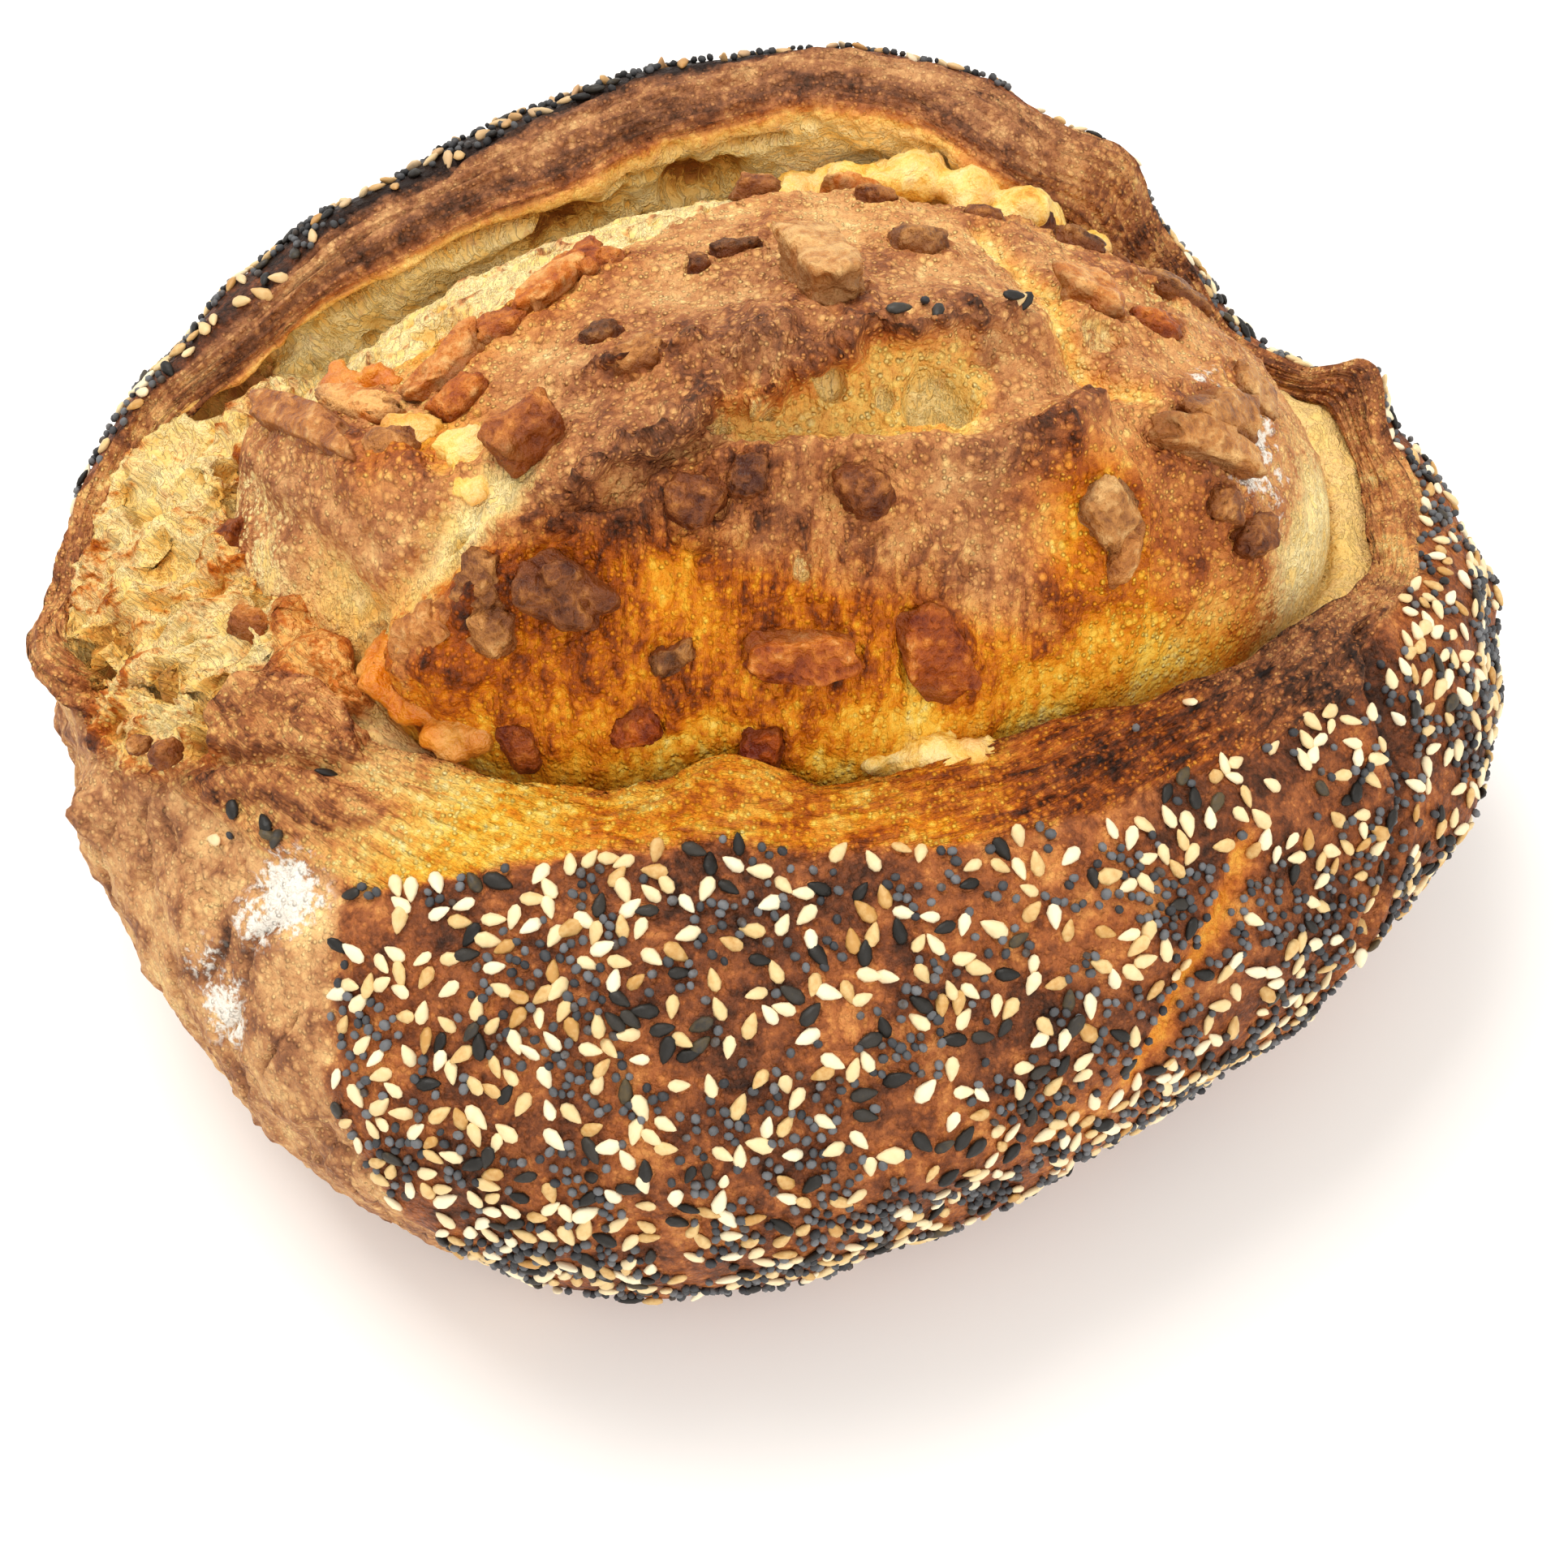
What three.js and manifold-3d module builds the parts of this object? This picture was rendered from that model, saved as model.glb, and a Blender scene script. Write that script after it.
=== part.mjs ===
// A round, seeded cheese-and-sausage sourdough loaf that burst open along its score while it baked.
// Units are millimetres, +Z is up, and the origin is the centre of the flat underside.
import * as THREE from "three";
import { mergeVertices } from "three/addons/utils/BufferGeometryUtils.js";
import Module from "manifold-3d";

const wasm = await Module();
wasm.setup();

// ---- Driving dimensions ----
const loafLength = 216; // along X, over the crust
const loafHeight = 101; // underside to the top of the burst crumb
const domeTop = { x: 5, y: 0 }; // highest point of the burst crumb
const seedLength = 3.4; // a sesame seed
const seedCount = 115;
const seedSpacing = 3.6 * seedLength; // least distance between two seeds
const seedNarrowing = 0.3; // how much a seed's pointed end is narrower than its middle
const clearance = 0.35; // between a lump and the pocket that it sits in
const domeDrop = 3; // how far the dome lies below the top of its highest fold
const domeFall = { x: 0.004, y: 0.0045 }; // how fast the dome falls off with the square of the distance
const foldShare = 0.8; // share of each fold's height that the solid keeps
const tornLumps = { middle: 2.5, swing: 3.2 }; // height of the crags in the torn left end
const flatStation = 2; // profile station where the flat underside ends
const lipStation = 8; // profile station where the lip turns in
const lumpRoundness = 0.5; // 0 is a box, 1 is an egg
const lumpWobble = { least: 0.9, span: 0.2 }; // uneven corners of a lump
const cheeseFlatness = 0.85; // height of a melted blob as a share of its width
const middleShift = [-1.5, 1.8, 0]; // brings the middle of the overall length and width to the origin

const halfLength = loafLength / 2;

// ---- Small helpers ----

// A smooth closed track round the loaf: keys are degrees from +X towards +Y, values are shares of a size.
function track(size, keys) {
  const angles = Object.keys(keys).map(Number).sort((a, b) => a - b);
  const values = angles.map((a) => keys[a] * size);
  const count = angles.length;
  const gap = (i) => {
    const turn = angles[(i + 1) % count] - angles[i];
    return turn > 0 ? turn : turn + 360;
  };
  return (degrees) => {
    const d = ((degrees % 360) + 360) % 360;
    let i = angles.findLastIndex((a) => a <= d);
    if (i < 0) i = count - 1;
    const before = (i + count - 1) % count;
    const next = (i + 1) % count;
    const after = (i + 2) % count;
    const [spanBefore, span, spanAfter] = [gap(before), gap(i), gap(next)];
    const t = (((d - angles[i]) % 360) + 360) % 360 / span;
    const riseBefore = (values[i] - values[before]) / spanBefore;
    const rise = (values[next] - values[i]) / span;
    const riseAfter = (values[after] - values[next]) / spanAfter;
    const slopeHere = (rise * spanBefore + riseBefore * span) / (span + spanBefore);
    const slopeNext = (riseAfter * span + rise * spanAfter) / (span + spanAfter);
    const t2 = t * t;
    const t3 = t2 * t;
    return (2 * t3 - 3 * t2 + 1) * values[i] + (t3 - 2 * t2 + t) * span * slopeHere
      + (3 * t2 - 2 * t3) * values[next] + (t3 - t2) * span * slopeNext;
  };
}

// A repeatable random source.
function randomSource(seed) {
  let state = seed;
  return () => {
    state = (state + 0x6d2b79f5) | 0;
    let t = Math.imul(state ^ (state >>> 15), 1 | state);
    t = (t + Math.imul(t ^ (t >>> 7), 61 | t)) ^ t;
    return ((t ^ (t >>> 14)) >>> 0) / 4294967296;
  };
}

function smooth(from, to, value) {
  return THREE.MathUtils.smoothstep(value, from, to);
}

// A closed three.js geometry as a manifold-3d solid.
function solidOf(geometry) {
  const bare = geometry.clone();
  bare.deleteAttribute("normal");
  bare.deleteAttribute("uv");
  const merged = mergeVertices(bare, 1e-4);
  return new wasm.Manifold(new wasm.Mesh({
    numProp: 3,
    vertProperties: new Float32Array(merged.attributes.position.array),
    triVerts: new Uint32Array(merged.index.array),
  }));
}

// Stands a shape on a surface: its own up along the normal, turned about it by an angle in radians.
function standing(place, normal, angle) {
  const upward = new THREE.Vector3(0, 0, 1);
  const stand = new THREE.Quaternion().setFromUnitVectors(upward, normal);
  const spin = new THREE.Quaternion().setFromAxisAngle(upward, angle);
  return new THREE.Matrix4().compose(place, stand.multiply(spin), new THREE.Vector3(1, 1, 1));
}

function geometryOf(solid) {
  const { vertProperties, triVerts } = solid.getMesh();
  return new THREE.BufferGeometry()
    .setAttribute("position", new THREE.BufferAttribute(new Float32Array(vertProperties), 3))
    .setIndex(new THREE.BufferAttribute(new Uint32Array(triVerts), 1));
}

// ---- The loaf's profile, one ring of shares for each line that runs round it ----
const girthRadius = track(halfLength, {
  0: 1.0, 20: 0.975, 45: 0.9, 90: 0.86, 135: 0.89, 160: 0.955, 180: 0.97, 200: 0.94, 217: 0.92,
  240: 0.935, 270: 0.88, 302: 0.82, 328: 0.885, 342: 0.95,
});
const girthHeight = track(loafHeight, { 0: 0.4, 90: 0.42, 180: 0.42, 225: 0.34, 270: 0.32, 315: 0.35 });
const crestRadius = track(halfLength, {
  0: 0.84, 16: 0.84, 32: 0.79, 46: 0.68, 54: 0.63, 76: 0.65, 100: 0.62, 125: 0.585, 146: 0.66, 164: 0.8,
  180: 0.89, 200: 0.83, 211: 0.7, 225: 0.65, 247: 0.575, 274: 0.53, 309: 0.565, 325: 0.62, 339: 0.71,
});
const crestHeight = track(loafHeight, {
  0: 0.61, 20: 0.6, 34: 0.62, 43: 0.76, 52: 0.87, 76: 0.94, 100: 0.93, 125: 0.91, 146: 0.85, 164: 0.74,
  180: 0.63, 198: 0.62, 211: 0.67, 225: 0.67, 247: 0.67, 274: 0.66, 309: 0.67, 339: 0.65,
});
const lipReach = track(halfLength, {
  0: 0.05, 30: 0.02, 46: 0.065, 76: 0.085, 125: 0.085, 150: 0.085, 175: 0.04, 205: 0.03, 225: 0.055,
  270: 0.055, 320: 0.065,
});
const lipDrop = track(loafHeight, { 0: 0.02, 76: 0.05, 125: 0.06, 180: 0.02, 270: 0.015 });
const valleyRadius = track(halfLength, {
  0: 0.74, 20: 0.76, 40: 0.68, 60: 0.56, 76: 0.55, 100: 0.53, 125: 0.53, 146: 0.59, 164: 0.65, 190: 0.67,
  211: 0.57, 225: 0.55, 247: 0.49, 274: 0.455, 309: 0.48, 325: 0.53, 339: 0.61,
});
const valleyHeight = track(loafHeight, {
  0: 0.55, 30: 0.59, 60: 0.69, 76: 0.65, 125: 0.6, 146: 0.62, 170: 0.65, 200: 0.64, 225: 0.61, 247: 0.57,
  274: 0.56, 309: 0.57, 339: 0.57,
});
const flankWidth = track(halfLength, {
  0: 0.24, 45: 0.3, 90: 0.2, 150: 0.16, 200: 0.2, 270: 0.28, 320: 0.28,
});

// ---- The burst crumb: a low dome with torn folds ----

// Each fold is a line of plan points. It stands up by rise along the line, drops over front on its near side
// and runs out over back on its far side.
const folds = [
  {
    line: [
      [-32, -30.5], [-26, -30], [-18, -26], [-10, -21], [-3, -17.4], [4, -12], [12, -9], [20, -7], [27, -4],
      [34, 0],
    ],
    rise: 6, front: 3.8, back: 12,
  },
  {
    line: [
      [-44, -40], [-36, -37.5], [-19, -34.5], [-5, -29.5], [13, -26], [24, -24.5], [31, -22.5], [38, -18],
    ],
    rise: 6, front: 8, back: 4.5,
  },
  { line: [[-25, -9], [-17, -12], [-10, -12.8], [-4, -12.6], [1, -8.5]], rise: 2.5, front: 2.6, back: 5 },
  { line: [[46, -6], [54, -14], [62, -21]], rise: 2.5, front: 5, back: 5 },
  { line: [[-74, 8], [-60, -6], [-50, -19], [-40, -31]], rise: 4, front: 7, back: 9 },
];

// Dents are oval hollows: the window between the two big folds, the crack at the right, the gap at the left.
const dents = [
  { at: [10, -17.5], depth: 4.5, reach: [16, 5] },
  { at: [33, 8], depth: 3.5, reach: [4.5, 9] },
  { at: [40, -7], depth: 3, reach: [5, 7] },
  { at: [-34, -31], depth: 3, reach: [6, 5] },
];

function distanceToLine(x, y, line) {
  let best = { distance: Infinity, side: 1 };
  for (let i = 0; i + 1 < line.length; i += 1) {
    const [ax, ay] = line[i];
    const [bx, by] = line[i + 1];
    const [dx, dy] = [bx - ax, by - ay];
    const t = THREE.MathUtils.clamp(((x - ax) * dx + (y - ay) * dy) / (dx * dx + dy * dy), 0, 1);
    const distance = Math.hypot(x - ax - t * dx, y - ay - t * dy);
    if (distance < best.distance) {
      best = { distance, side: Math.sign(dx * (y - ay) - dy * (x - ax)) || 1 };
    }
  }
  return best;
}

function foldRelief(x, y) {
  let height = 0;
  for (const { line, rise, front, back } of folds) {
    const { distance, side } = distanceToLine(x, y, line);
    height += rise * Math.exp(-((distance / (side > 0 ? back : front)) ** 2));
  }
  for (const { at, depth, reach } of dents) {
    height -= depth * Math.exp(-(((x - at[0]) / reach[0]) ** 2) - ((y - at[1]) / reach[1]) ** 2);
  }
  return height;
}

// Slow, uneven swelling of the dough.
function swell(x, y, z) {
  return 0.9 * Math.sin(0.09 * x + 0.05 * y + 1.3) * Math.sin(0.11 * y - 0.07 * z + 0.4)
    + 0.6 * Math.sin(0.21 * x - 0.13 * z) * Math.sin(0.19 * y + 2.1)
    + 0.5 * Math.sin(0.31 * z + 0.17 * x + 0.8) * Math.sin(0.27 * y - 0.11 * x);
}

// The torn crumb at the open left end: craggy lumps between the crust's edge and the dome.
function tornRelief(x, y) {
  const lumps = Math.sin(0.42 * x + 0.2 * y) * Math.sin(0.37 * y - 0.12 * x + 0.8)
    + 0.5 * Math.sin(0.71 * x - 0.3 * y + 2) * Math.sin(0.63 * y + 0.25 * x);
  const open = (1 - smooth(-60, -42, x)) * smooth(-60, -45, y) * (1 - smooth(22, 40, y));
  return (tornLumps.middle + tornLumps.swing * lumps) * open;
}

function domeHeight(x, y) {
  return loafHeight - domeDrop - domeFall.x * (x - domeTop.x) ** 2 - domeFall.y * (y - domeTop.y) ** 2
    + foldRelief(x, y) * foldShare;
}

// ---- The loft: each profile runs from the middle of the underside, up the wall and over the lip ----
function wallProfile(degrees) {
  const girth = girthRadius(degrees);
  const waist = girthHeight(degrees);
  const crest = crestRadius(degrees);
  const top = crestHeight(degrees);
  const reach = lipReach(degrees);
  const drop = lipDrop(degrees);
  const valley = valleyRadius(degrees);
  const floor = valleyHeight(degrees);
  return [
    [girth * 0.36, 0],
    [girth * 0.72, 0],
    [girth * 0.86, 1.5],
    [girth * 0.955, waist * 0.4],
    [girth, waist],
    [girth * 0.965, waist + (top - waist) * 0.42],
    [girth + (crest - girth) * 0.52, waist + (top - waist) * 0.82],
    [crest, top],
    [crest - reach, top - drop],
    [crest - reach * 0.6, top - drop - (top - floor) * 0.35],
    [valley + reach * 0.4, floor + 2],
    [valley, floor],
  ];
}

// Rings of the loft: a station of the wall or a share of the dome's radius, and the faces round it.
const wallRings = [
  [0, 18], [1, 36], [2, 72], [2.5, 72], [3, 72], [3.5, 72], [4, 72], [4.5, 72], [5, 72], [5.5, 72], [6, 72],
  [6.5, 72], [7, 72], [7.5, 72], [8, 72], [8.6, 72], [9.2, 72], [10, 72], [11, 72],
];
const domeRings = [
  [0.97, 72], [0.92, 72], [0.86, 72], [0.79, 72], [0.71, 72], [0.62, 36], [0.53, 36], [0.44, 36], [0.35, 36],
  [0.26, 18], [0.16, 18], [0.07, 9],
];

function along(points, position) {
  const i = Math.min(Math.floor(position), points.length - 2);
  const t = position - i;
  const p = (k) => points[THREE.MathUtils.clamp(k, 0, points.length - 1)];
  return [0, 1].map((axis) => {
    const [a, b, c, d] = [p(i - 1)[axis], p(i)[axis], p(i + 1)[axis], p(i + 2)[axis]];
    const bend = 2 * a - 5 * b + 4 * c - d;
    return 0.5 * (2 * b + (c - a) * t + bend * t ** 2 + (3 * b - a - 3 * c + d) * t ** 3);
  });
}

function wallPoint(degrees, position) {
  const [radius, z] = along(wallProfile(degrees), position);
  const angle = THREE.MathUtils.degToRad(degrees);
  const point = new THREE.Vector3(radius * Math.cos(angle), radius * Math.sin(angle), Math.max(z, 0));
  if (position > flatStation) {
    const out = swell(point.x, point.y, point.z) * smooth(flatStation, flatStation + 2, position);
    point.x += out * Math.cos(angle);
    point.y += out * Math.sin(angle);
  }
  if (position > lipStation) {
    point.z += tornRelief(point.x, point.y) * smooth(lipStation, lipStation + 1, position);
  }
  return point;
}

function domePoint(degrees, share) {
  const foot = valleyRadius(degrees);
  const radius = foot * share;
  const angle = THREE.MathUtils.degToRad(degrees);
  const [x, y] = [radius * Math.cos(angle), radius * Math.sin(angle)];
  const inside = THREE.MathUtils.clamp((foot - radius) / flankWidth(degrees), 0, 1);
  const rise = Math.sqrt(1 - (1 - inside) ** 2);
  const floor = valleyHeight(degrees) + tornRelief(x, y);
  return new THREE.Vector3(x, y, floor + (domeHeight(x, y) - floor) * rise);
}

// ---- Torn ends and knobs: a soft pull on everything near a point ----
const pulls = [
  { at: [51, 54, 82], by: [3, 1, 3], reach: 8 }, // knob at the end of the back ear
  { at: [87, 28, 61], by: [2, 1, 7], reach: 6 }, // torn flap at the right
  { at: [-97, -22, 58], by: [-3, -1, 1], reach: 7 }, // ragged crust at the left
  { at: [-88, -43, 50], by: [-3, -2, 3], reach: 5 },
  { at: [-40, -40, 78], by: [-4, -3, 1], reach: 8 }, // tip of the front fold
  { at: [-4, -53, 66], by: [0, 2, 4], reach: 8 }, // wave in the front lip
];

function pulled(point) {
  const start = point.clone();
  for (const { at, by, reach } of pulls) {
    const share = Math.exp(-(start.distanceToSquared(new THREE.Vector3(...at)) / reach ** 2));
    point.addScaledVector(new THREE.Vector3(...by), share);
  }
  return point;
}

// Faces between two rings of points, where one has as many points as the other or twice as many.
function stitch(faces, lower, upper) {
  const count = Math.max(lower.length, upper.length);
  const pick = (ring, i) => ring[Math.floor((i * ring.length) / count) % ring.length];
  for (let i = 0; i < count; i += 1) {
    const corners = [pick(lower, i), pick(lower, i + 1), pick(upper, i + 1), pick(upper, i)];
    for (const face of [[0, 1, 3], [1, 2, 3]]) {
      const [p, q, r] = face.map((k) => corners[k]);
      if (p !== q && q !== r && r !== p) faces.push(p, q, r);
    }
  }
}

function loafGeometry() {
  const points = [new THREE.Vector3(0, 0, 0)];
  const faces = [];
  let below = [0];
  const addRing = (count, place) => {
    const ring = Array.from({ length: count }, (_, i) => points.push(pulled(place((360 * i) / count))) - 1);
    stitch(faces, below, ring);
    below = ring;
  };
  wallRings.forEach(([station, count]) => addRing(count, (degrees) => wallPoint(degrees, station)));
  domeRings.forEach(([share, count]) => addRing(count, (degrees) => domePoint(degrees, share)));
  addRing(1, () => new THREE.Vector3(0, 0, domeHeight(0, 0)));
  return new THREE.BufferGeometry().setFromPoints(points).setIndex(faces);
}

// ---- What is baked into the burst crumb ----

// The dome's surface over a plan point, and the direction that it faces there.
function crumbSurface(x, y) {
  const degrees = THREE.MathUtils.radToDeg(Math.atan2(y, x));
  return domePoint(degrees, Math.hypot(x, y) / valleyRadius(degrees));
}

function crumbNormal(x, y) {
  const step = 1.5;
  const acrossX = crumbSurface(x + step, y).sub(crumbSurface(x - step, y));
  const acrossY = crumbSurface(x, y + step).sub(crumbSurface(x, y - step));
  return acrossX.cross(acrossY).normalize();
}

// Lumps of sausage: plan place, size along, across and through, turn in degrees, share that stands out.
const sausage = {
  block_back: { at: [6.8, 3.2], size: [18, 7.5, 6.5], turn: -74, out: 0.7 },
  block_left: { at: [-27.6, -22.4], size: [9, 7, 6], turn: 40, out: 0.7 },
  strip_left: { at: [-40.3, -1.8], size: [13.5, 5.5, 4.5], turn: 56, out: 0.55 },
  strip_back: { at: [-28, 10.4], size: [12.5, 6, 4.5], turn: 58, out: 0.55 },
  strip_leaf: { at: [-56.6, -8.8], size: [28, 5, 5], turn: -42, out: 0.7 },
  lump_ridge: { at: [-23, -38], size: [13, 8.5, 7], turn: -30, out: 0.55 },
  block_front: { at: [4, -41.2], size: [12.5, 6.5, 6], turn: -4, out: 0.5 },
  chunk_front: { at: [20, -38.8], size: [12, 7.5, 5], turn: -55, out: 0.5 },
  chunk_right: { at: [42, 9], size: [10, 8.5, 5], turn: 20, out: 0.5 },
  strip_right: { at: [54, -12.5], size: [20, 5, 5], turn: 8, out: 0.5 },
  strip_rim: { at: [57.2, -6.4], size: [17, 6.5, 5.5], turn: 26, out: 0.5 },
  lump_tip: { at: [-39.6, -37.6], size: [9, 7.5, 7], turn: 20, out: 0.5 },
};

// Smaller nubs, baked fast to the crumb.
const nubs = [
  { at: [19.3, 15.8], size: [8, 6.4, 5.5], turn: -8, out: 0.5 },
  { at: [-32.2, -39.2], size: [7.5, 6.5, 6], turn: 80, out: 0.5 },
  { at: [-8.3, -31.6], size: [7.5, 6.5, 6.5], turn: 60, out: 0.5 },
  { at: [11.1, -29.4], size: [7.5, 6.5, 7], turn: 15, out: 0.45 },
  { at: [61.6, -16.5], size: [8, 5.5, 5.5], turn: 40, out: 0.45 },
];

// Pools and lumps of melted cheese: runs of round blobs, each with a centre and a radius.
const cheese = {
  cheese_back: [
    [4, 55, 79, 5.5], [11, 55.5, 80, 6.2], [18, 55, 80.5, 6.5], [25, 53, 81, 7], [32, 50, 81, 7],
    [39, 47, 80, 6.6], [46, 44, 77, 5.8],
  ],
  cheese_left: [[-43.5, -14, 90, 4.4], [-36.5, -19.4, 92, 4.2], [-34.5, -24.5, 91.5, 3.8]],
  cheese_lump: [[-55, 1.2, 84.4, 4.2], [-51, 1.5, 86, 3.2]],
  cheese_front_left: [[-45.2, -35.4, 70, 5], [-41, -38.8, 69.8, 5.4], [-36.4, -42, 68, 4.8]],
  cheese_front: [[14.5, -44, 63.8, 3.4], [19.5, -45, 65, 3.8], [25, -46, 65, 3.4]],
};

// A torn block: a box pushed towards an egg shape, with uneven corners.
function lumpGeometry([length, width, height], random, grow = 0) {
  const geometry = new THREE.BoxGeometry(2, 2, 2, 3, 2, 2);
  const place = geometry.attributes.position;
  const wobble = new Map();
  for (let i = 0; i < place.count; i += 1) {
    const p = new THREE.Vector3().fromBufferAttribute(place, i);
    const key = p.toArray().map((v) => v.toFixed(3)).join();
    if (!wobble.has(key)) wobble.set(key, lumpWobble.least + lumpWobble.span * random());
    const round = p.clone().normalize().multiplyScalar(1.25);
    p.lerp(round, lumpRoundness).multiplyScalar(wobble.get(key));
    place.setXYZ(i, p.x * (length / 2 + grow), p.y * (width / 2 + grow), p.z * (height / 2 + grow));
  }
  return geometry;
}

function sausageMatrix({ at, size, turn, out }) {
  const normal = crumbNormal(...at);
  const centre = crumbSurface(...at).addScaledVector(normal, (out - 0.5) * size[2]);
  return standing(centre, normal, THREE.MathUtils.degToRad(turn));
}

function sausageSolid(place, seed, grow = 0) {
  return solidOf(lumpGeometry(place.size, randomSource(seed), grow).applyMatrix4(sausageMatrix(place)));
}

function cheeseSolid(run, grow = 0) {
  const blobs = run.map(([x, y, z, radius]) => {
    const blob = new THREE.SphereGeometry(radius + grow, 7, 5).rotateZ(x * 0.7).rotateX(y * 0.9);
    return solidOf(blob.scale(1, 1, cheeseFlatness).translate(x, y, z));
  });
  return wasm.Manifold.union(blobs);
}

// The largest of the bodies that a cut leaves: scraps are dropped and sealed hollows are filled.
function mainBody(solid) {
  return solid.decompose().reduce((most, body) => (body.volume() > most.volume() ? body : most));
}

// ---- Sesame seeds, pressed half into the crust ----
// The seeded band: the wall all round, except for the bare dough at the left front.
function isSeeded(point) {
  const degrees = (THREE.MathUtils.radToDeg(Math.atan2(point.y, point.x)) + 360) % 360;
  return degrees < 168 || degrees > 243;
}

function seedSolid(position, normal, spin) {
  const seed = new THREE.SphereGeometry(1, 6, 3).rotateZ(Math.PI / 2);
  const place = seed.attributes.position;
  for (let i = 0; i < place.count; i += 1) {
    const narrow = 1 - seedNarrowing * place.getX(i); // a blunt end and a pointed one
    place.setY(i, place.getY(i) * narrow);
  }
  seed.scale(seedLength / 2, seedLength * 0.3, seedLength * 0.24);
  return solidOf(seed.applyMatrix4(standing(position, normal, spin)));
}

function wallSurface(degrees, position) {
  return pulled(wallPoint(degrees, position));
}

function seedPlaces() {
  const random = randomSource(11);
  const lowest = 3; // profile station just above the underside's edge
  const highest = 6.75; // profile station just below the crest
  const places = [];
  while (places.length < seedCount) {
    const degrees = random() * 360;
    const station = lowest + random() * (highest - lowest);
    const point = wallSurface(degrees, station);
    if (!isSeeded(point)) continue;
    const spaced = places.every((other) => other.point.distanceTo(point) > seedSpacing);
    if (!spaced) continue;
    const round = wallSurface(degrees + 1, station).sub(wallSurface(degrees - 1, station));
    const up = wallSurface(degrees, station + 0.1).sub(wallSurface(degrees, station - 0.1));
    places.push({ point, normal: round.cross(up).normalize(), spin: random() * Math.PI });
  }
  return places;
}

// ---- The pieces ----
const pieces = {
  ...Object.fromEntries(Object.entries(sausage).map(([name, place], i) => [
    name,
    { colour: 0x7d3f22, roughness: 0.55, solid: (grow) => sausageSolid(place, 101 + i, grow) },
  ])),
  ...Object.fromEntries(Object.entries(cheese).map(([name, run]) => [
    name,
    { colour: 0xf2b544, roughness: 0.4, solid: (grow) => cheeseSolid(run, grow) },
  ])),
};

const group = new THREE.Group();

function addPiece(name, solid, color, roughness) {
  const material = new THREE.MeshStandardMaterial({ color, roughness, metalness: 0 });
  const mesh = new THREE.Mesh(geometryOf(solid.translate(middleShift)), material);
  mesh.name = name;
  group.add(mesh);
}

let loaf = solidOf(loafGeometry());
const bodies = [];
for (const [name, { colour, roughness, solid }] of Object.entries(pieces)) {
  const neighbours = bodies.map((body) => body.pocket);
  const own = neighbours.length ? solid(0).subtract(wasm.Manifold.union(neighbours)) : solid(0);
  bodies.push({ name, colour, roughness, solid: mainBody(own), pocket: solid(clearance) });
}
const bumps = nubs.map((place, i) => sausageSolid(place, 201 + i));
loaf = wasm.Manifold.union([loaf, ...bumps]);
loaf = mainBody(loaf.subtract(wasm.Manifold.union(bodies.map((body) => body.pocket))));
const seeds = seedPlaces().map(({ point, normal, spin }) => seedSolid(point, normal, spin));
loaf = mainBody(wasm.Manifold.union([loaf, ...seeds]));
addPiece("loaf", loaf, 0xa9672f, 0.75);
for (const { name, colour, roughness, solid } of bodies) addPiece(name, solid, colour, roughness);

export default group;
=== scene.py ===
import math
import bpy
import numpy as np
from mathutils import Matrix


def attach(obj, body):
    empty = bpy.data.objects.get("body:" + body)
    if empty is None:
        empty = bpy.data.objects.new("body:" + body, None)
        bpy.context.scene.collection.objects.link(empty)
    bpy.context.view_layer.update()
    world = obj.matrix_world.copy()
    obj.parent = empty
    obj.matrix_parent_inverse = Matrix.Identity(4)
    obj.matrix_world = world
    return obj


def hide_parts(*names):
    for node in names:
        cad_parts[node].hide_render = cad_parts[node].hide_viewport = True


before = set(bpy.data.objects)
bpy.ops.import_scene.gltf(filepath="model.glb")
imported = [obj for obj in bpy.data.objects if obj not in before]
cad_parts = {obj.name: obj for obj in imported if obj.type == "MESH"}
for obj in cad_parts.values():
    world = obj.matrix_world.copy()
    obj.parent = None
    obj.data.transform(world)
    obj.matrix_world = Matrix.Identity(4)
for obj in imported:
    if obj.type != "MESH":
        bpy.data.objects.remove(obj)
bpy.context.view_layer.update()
bpy.ops.object.select_all(action="DESELECT")
mm = 0.001
detail = 1.0


# small helpers for shapes, in millimetres

def smooth(low, high, value):
    t = np.clip((value - low) / (high - low), 0, 1)
    return t * t * (3 - 2 * t)


def hill(value):  # 1 at zero and falling off softly on both sides
    return np.exp(-value ** 2)


def between(start, full, fade, gone, value):  # rises, holds at 1 and falls again
    return smooth(start, full, value) * (1 - smooth(fade, gone, value))


def mixed(a, b, share):
    return a * (1 - share) + b * share


def track(size, keys):  # a smooth closed track round the loaf: degrees from +X to a share of size
    angles = np.array(sorted(keys), float)
    values = np.array([keys[a] for a in sorted(keys)]) * size
    span = (np.roll(angles, -1) - angles) % 360
    slope = (np.roll(values, -1) - values) / span
    tangent = (slope * np.roll(span, 1) + np.roll(slope, 1) * span) / (span + np.roll(span, 1))

    def at(degrees):
        d = np.asarray(degrees, float) % 360
        i = (np.searchsorted(angles, d, side="right") - 1) % len(angles)
        j = (i + 1) % len(angles)
        t = ((d - angles[i]) % 360) / span[i]
        t2, t3 = t * t, t * t * t
        return ((2 * t3 - 3 * t2 + 1) * values[i] + (t3 - 2 * t2 + t) * span[i] * tangent[i]
                + (3 * t2 - 2 * t3) * values[j] + (t3 - t2) * span[i] * tangent[j])
    return at


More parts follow.
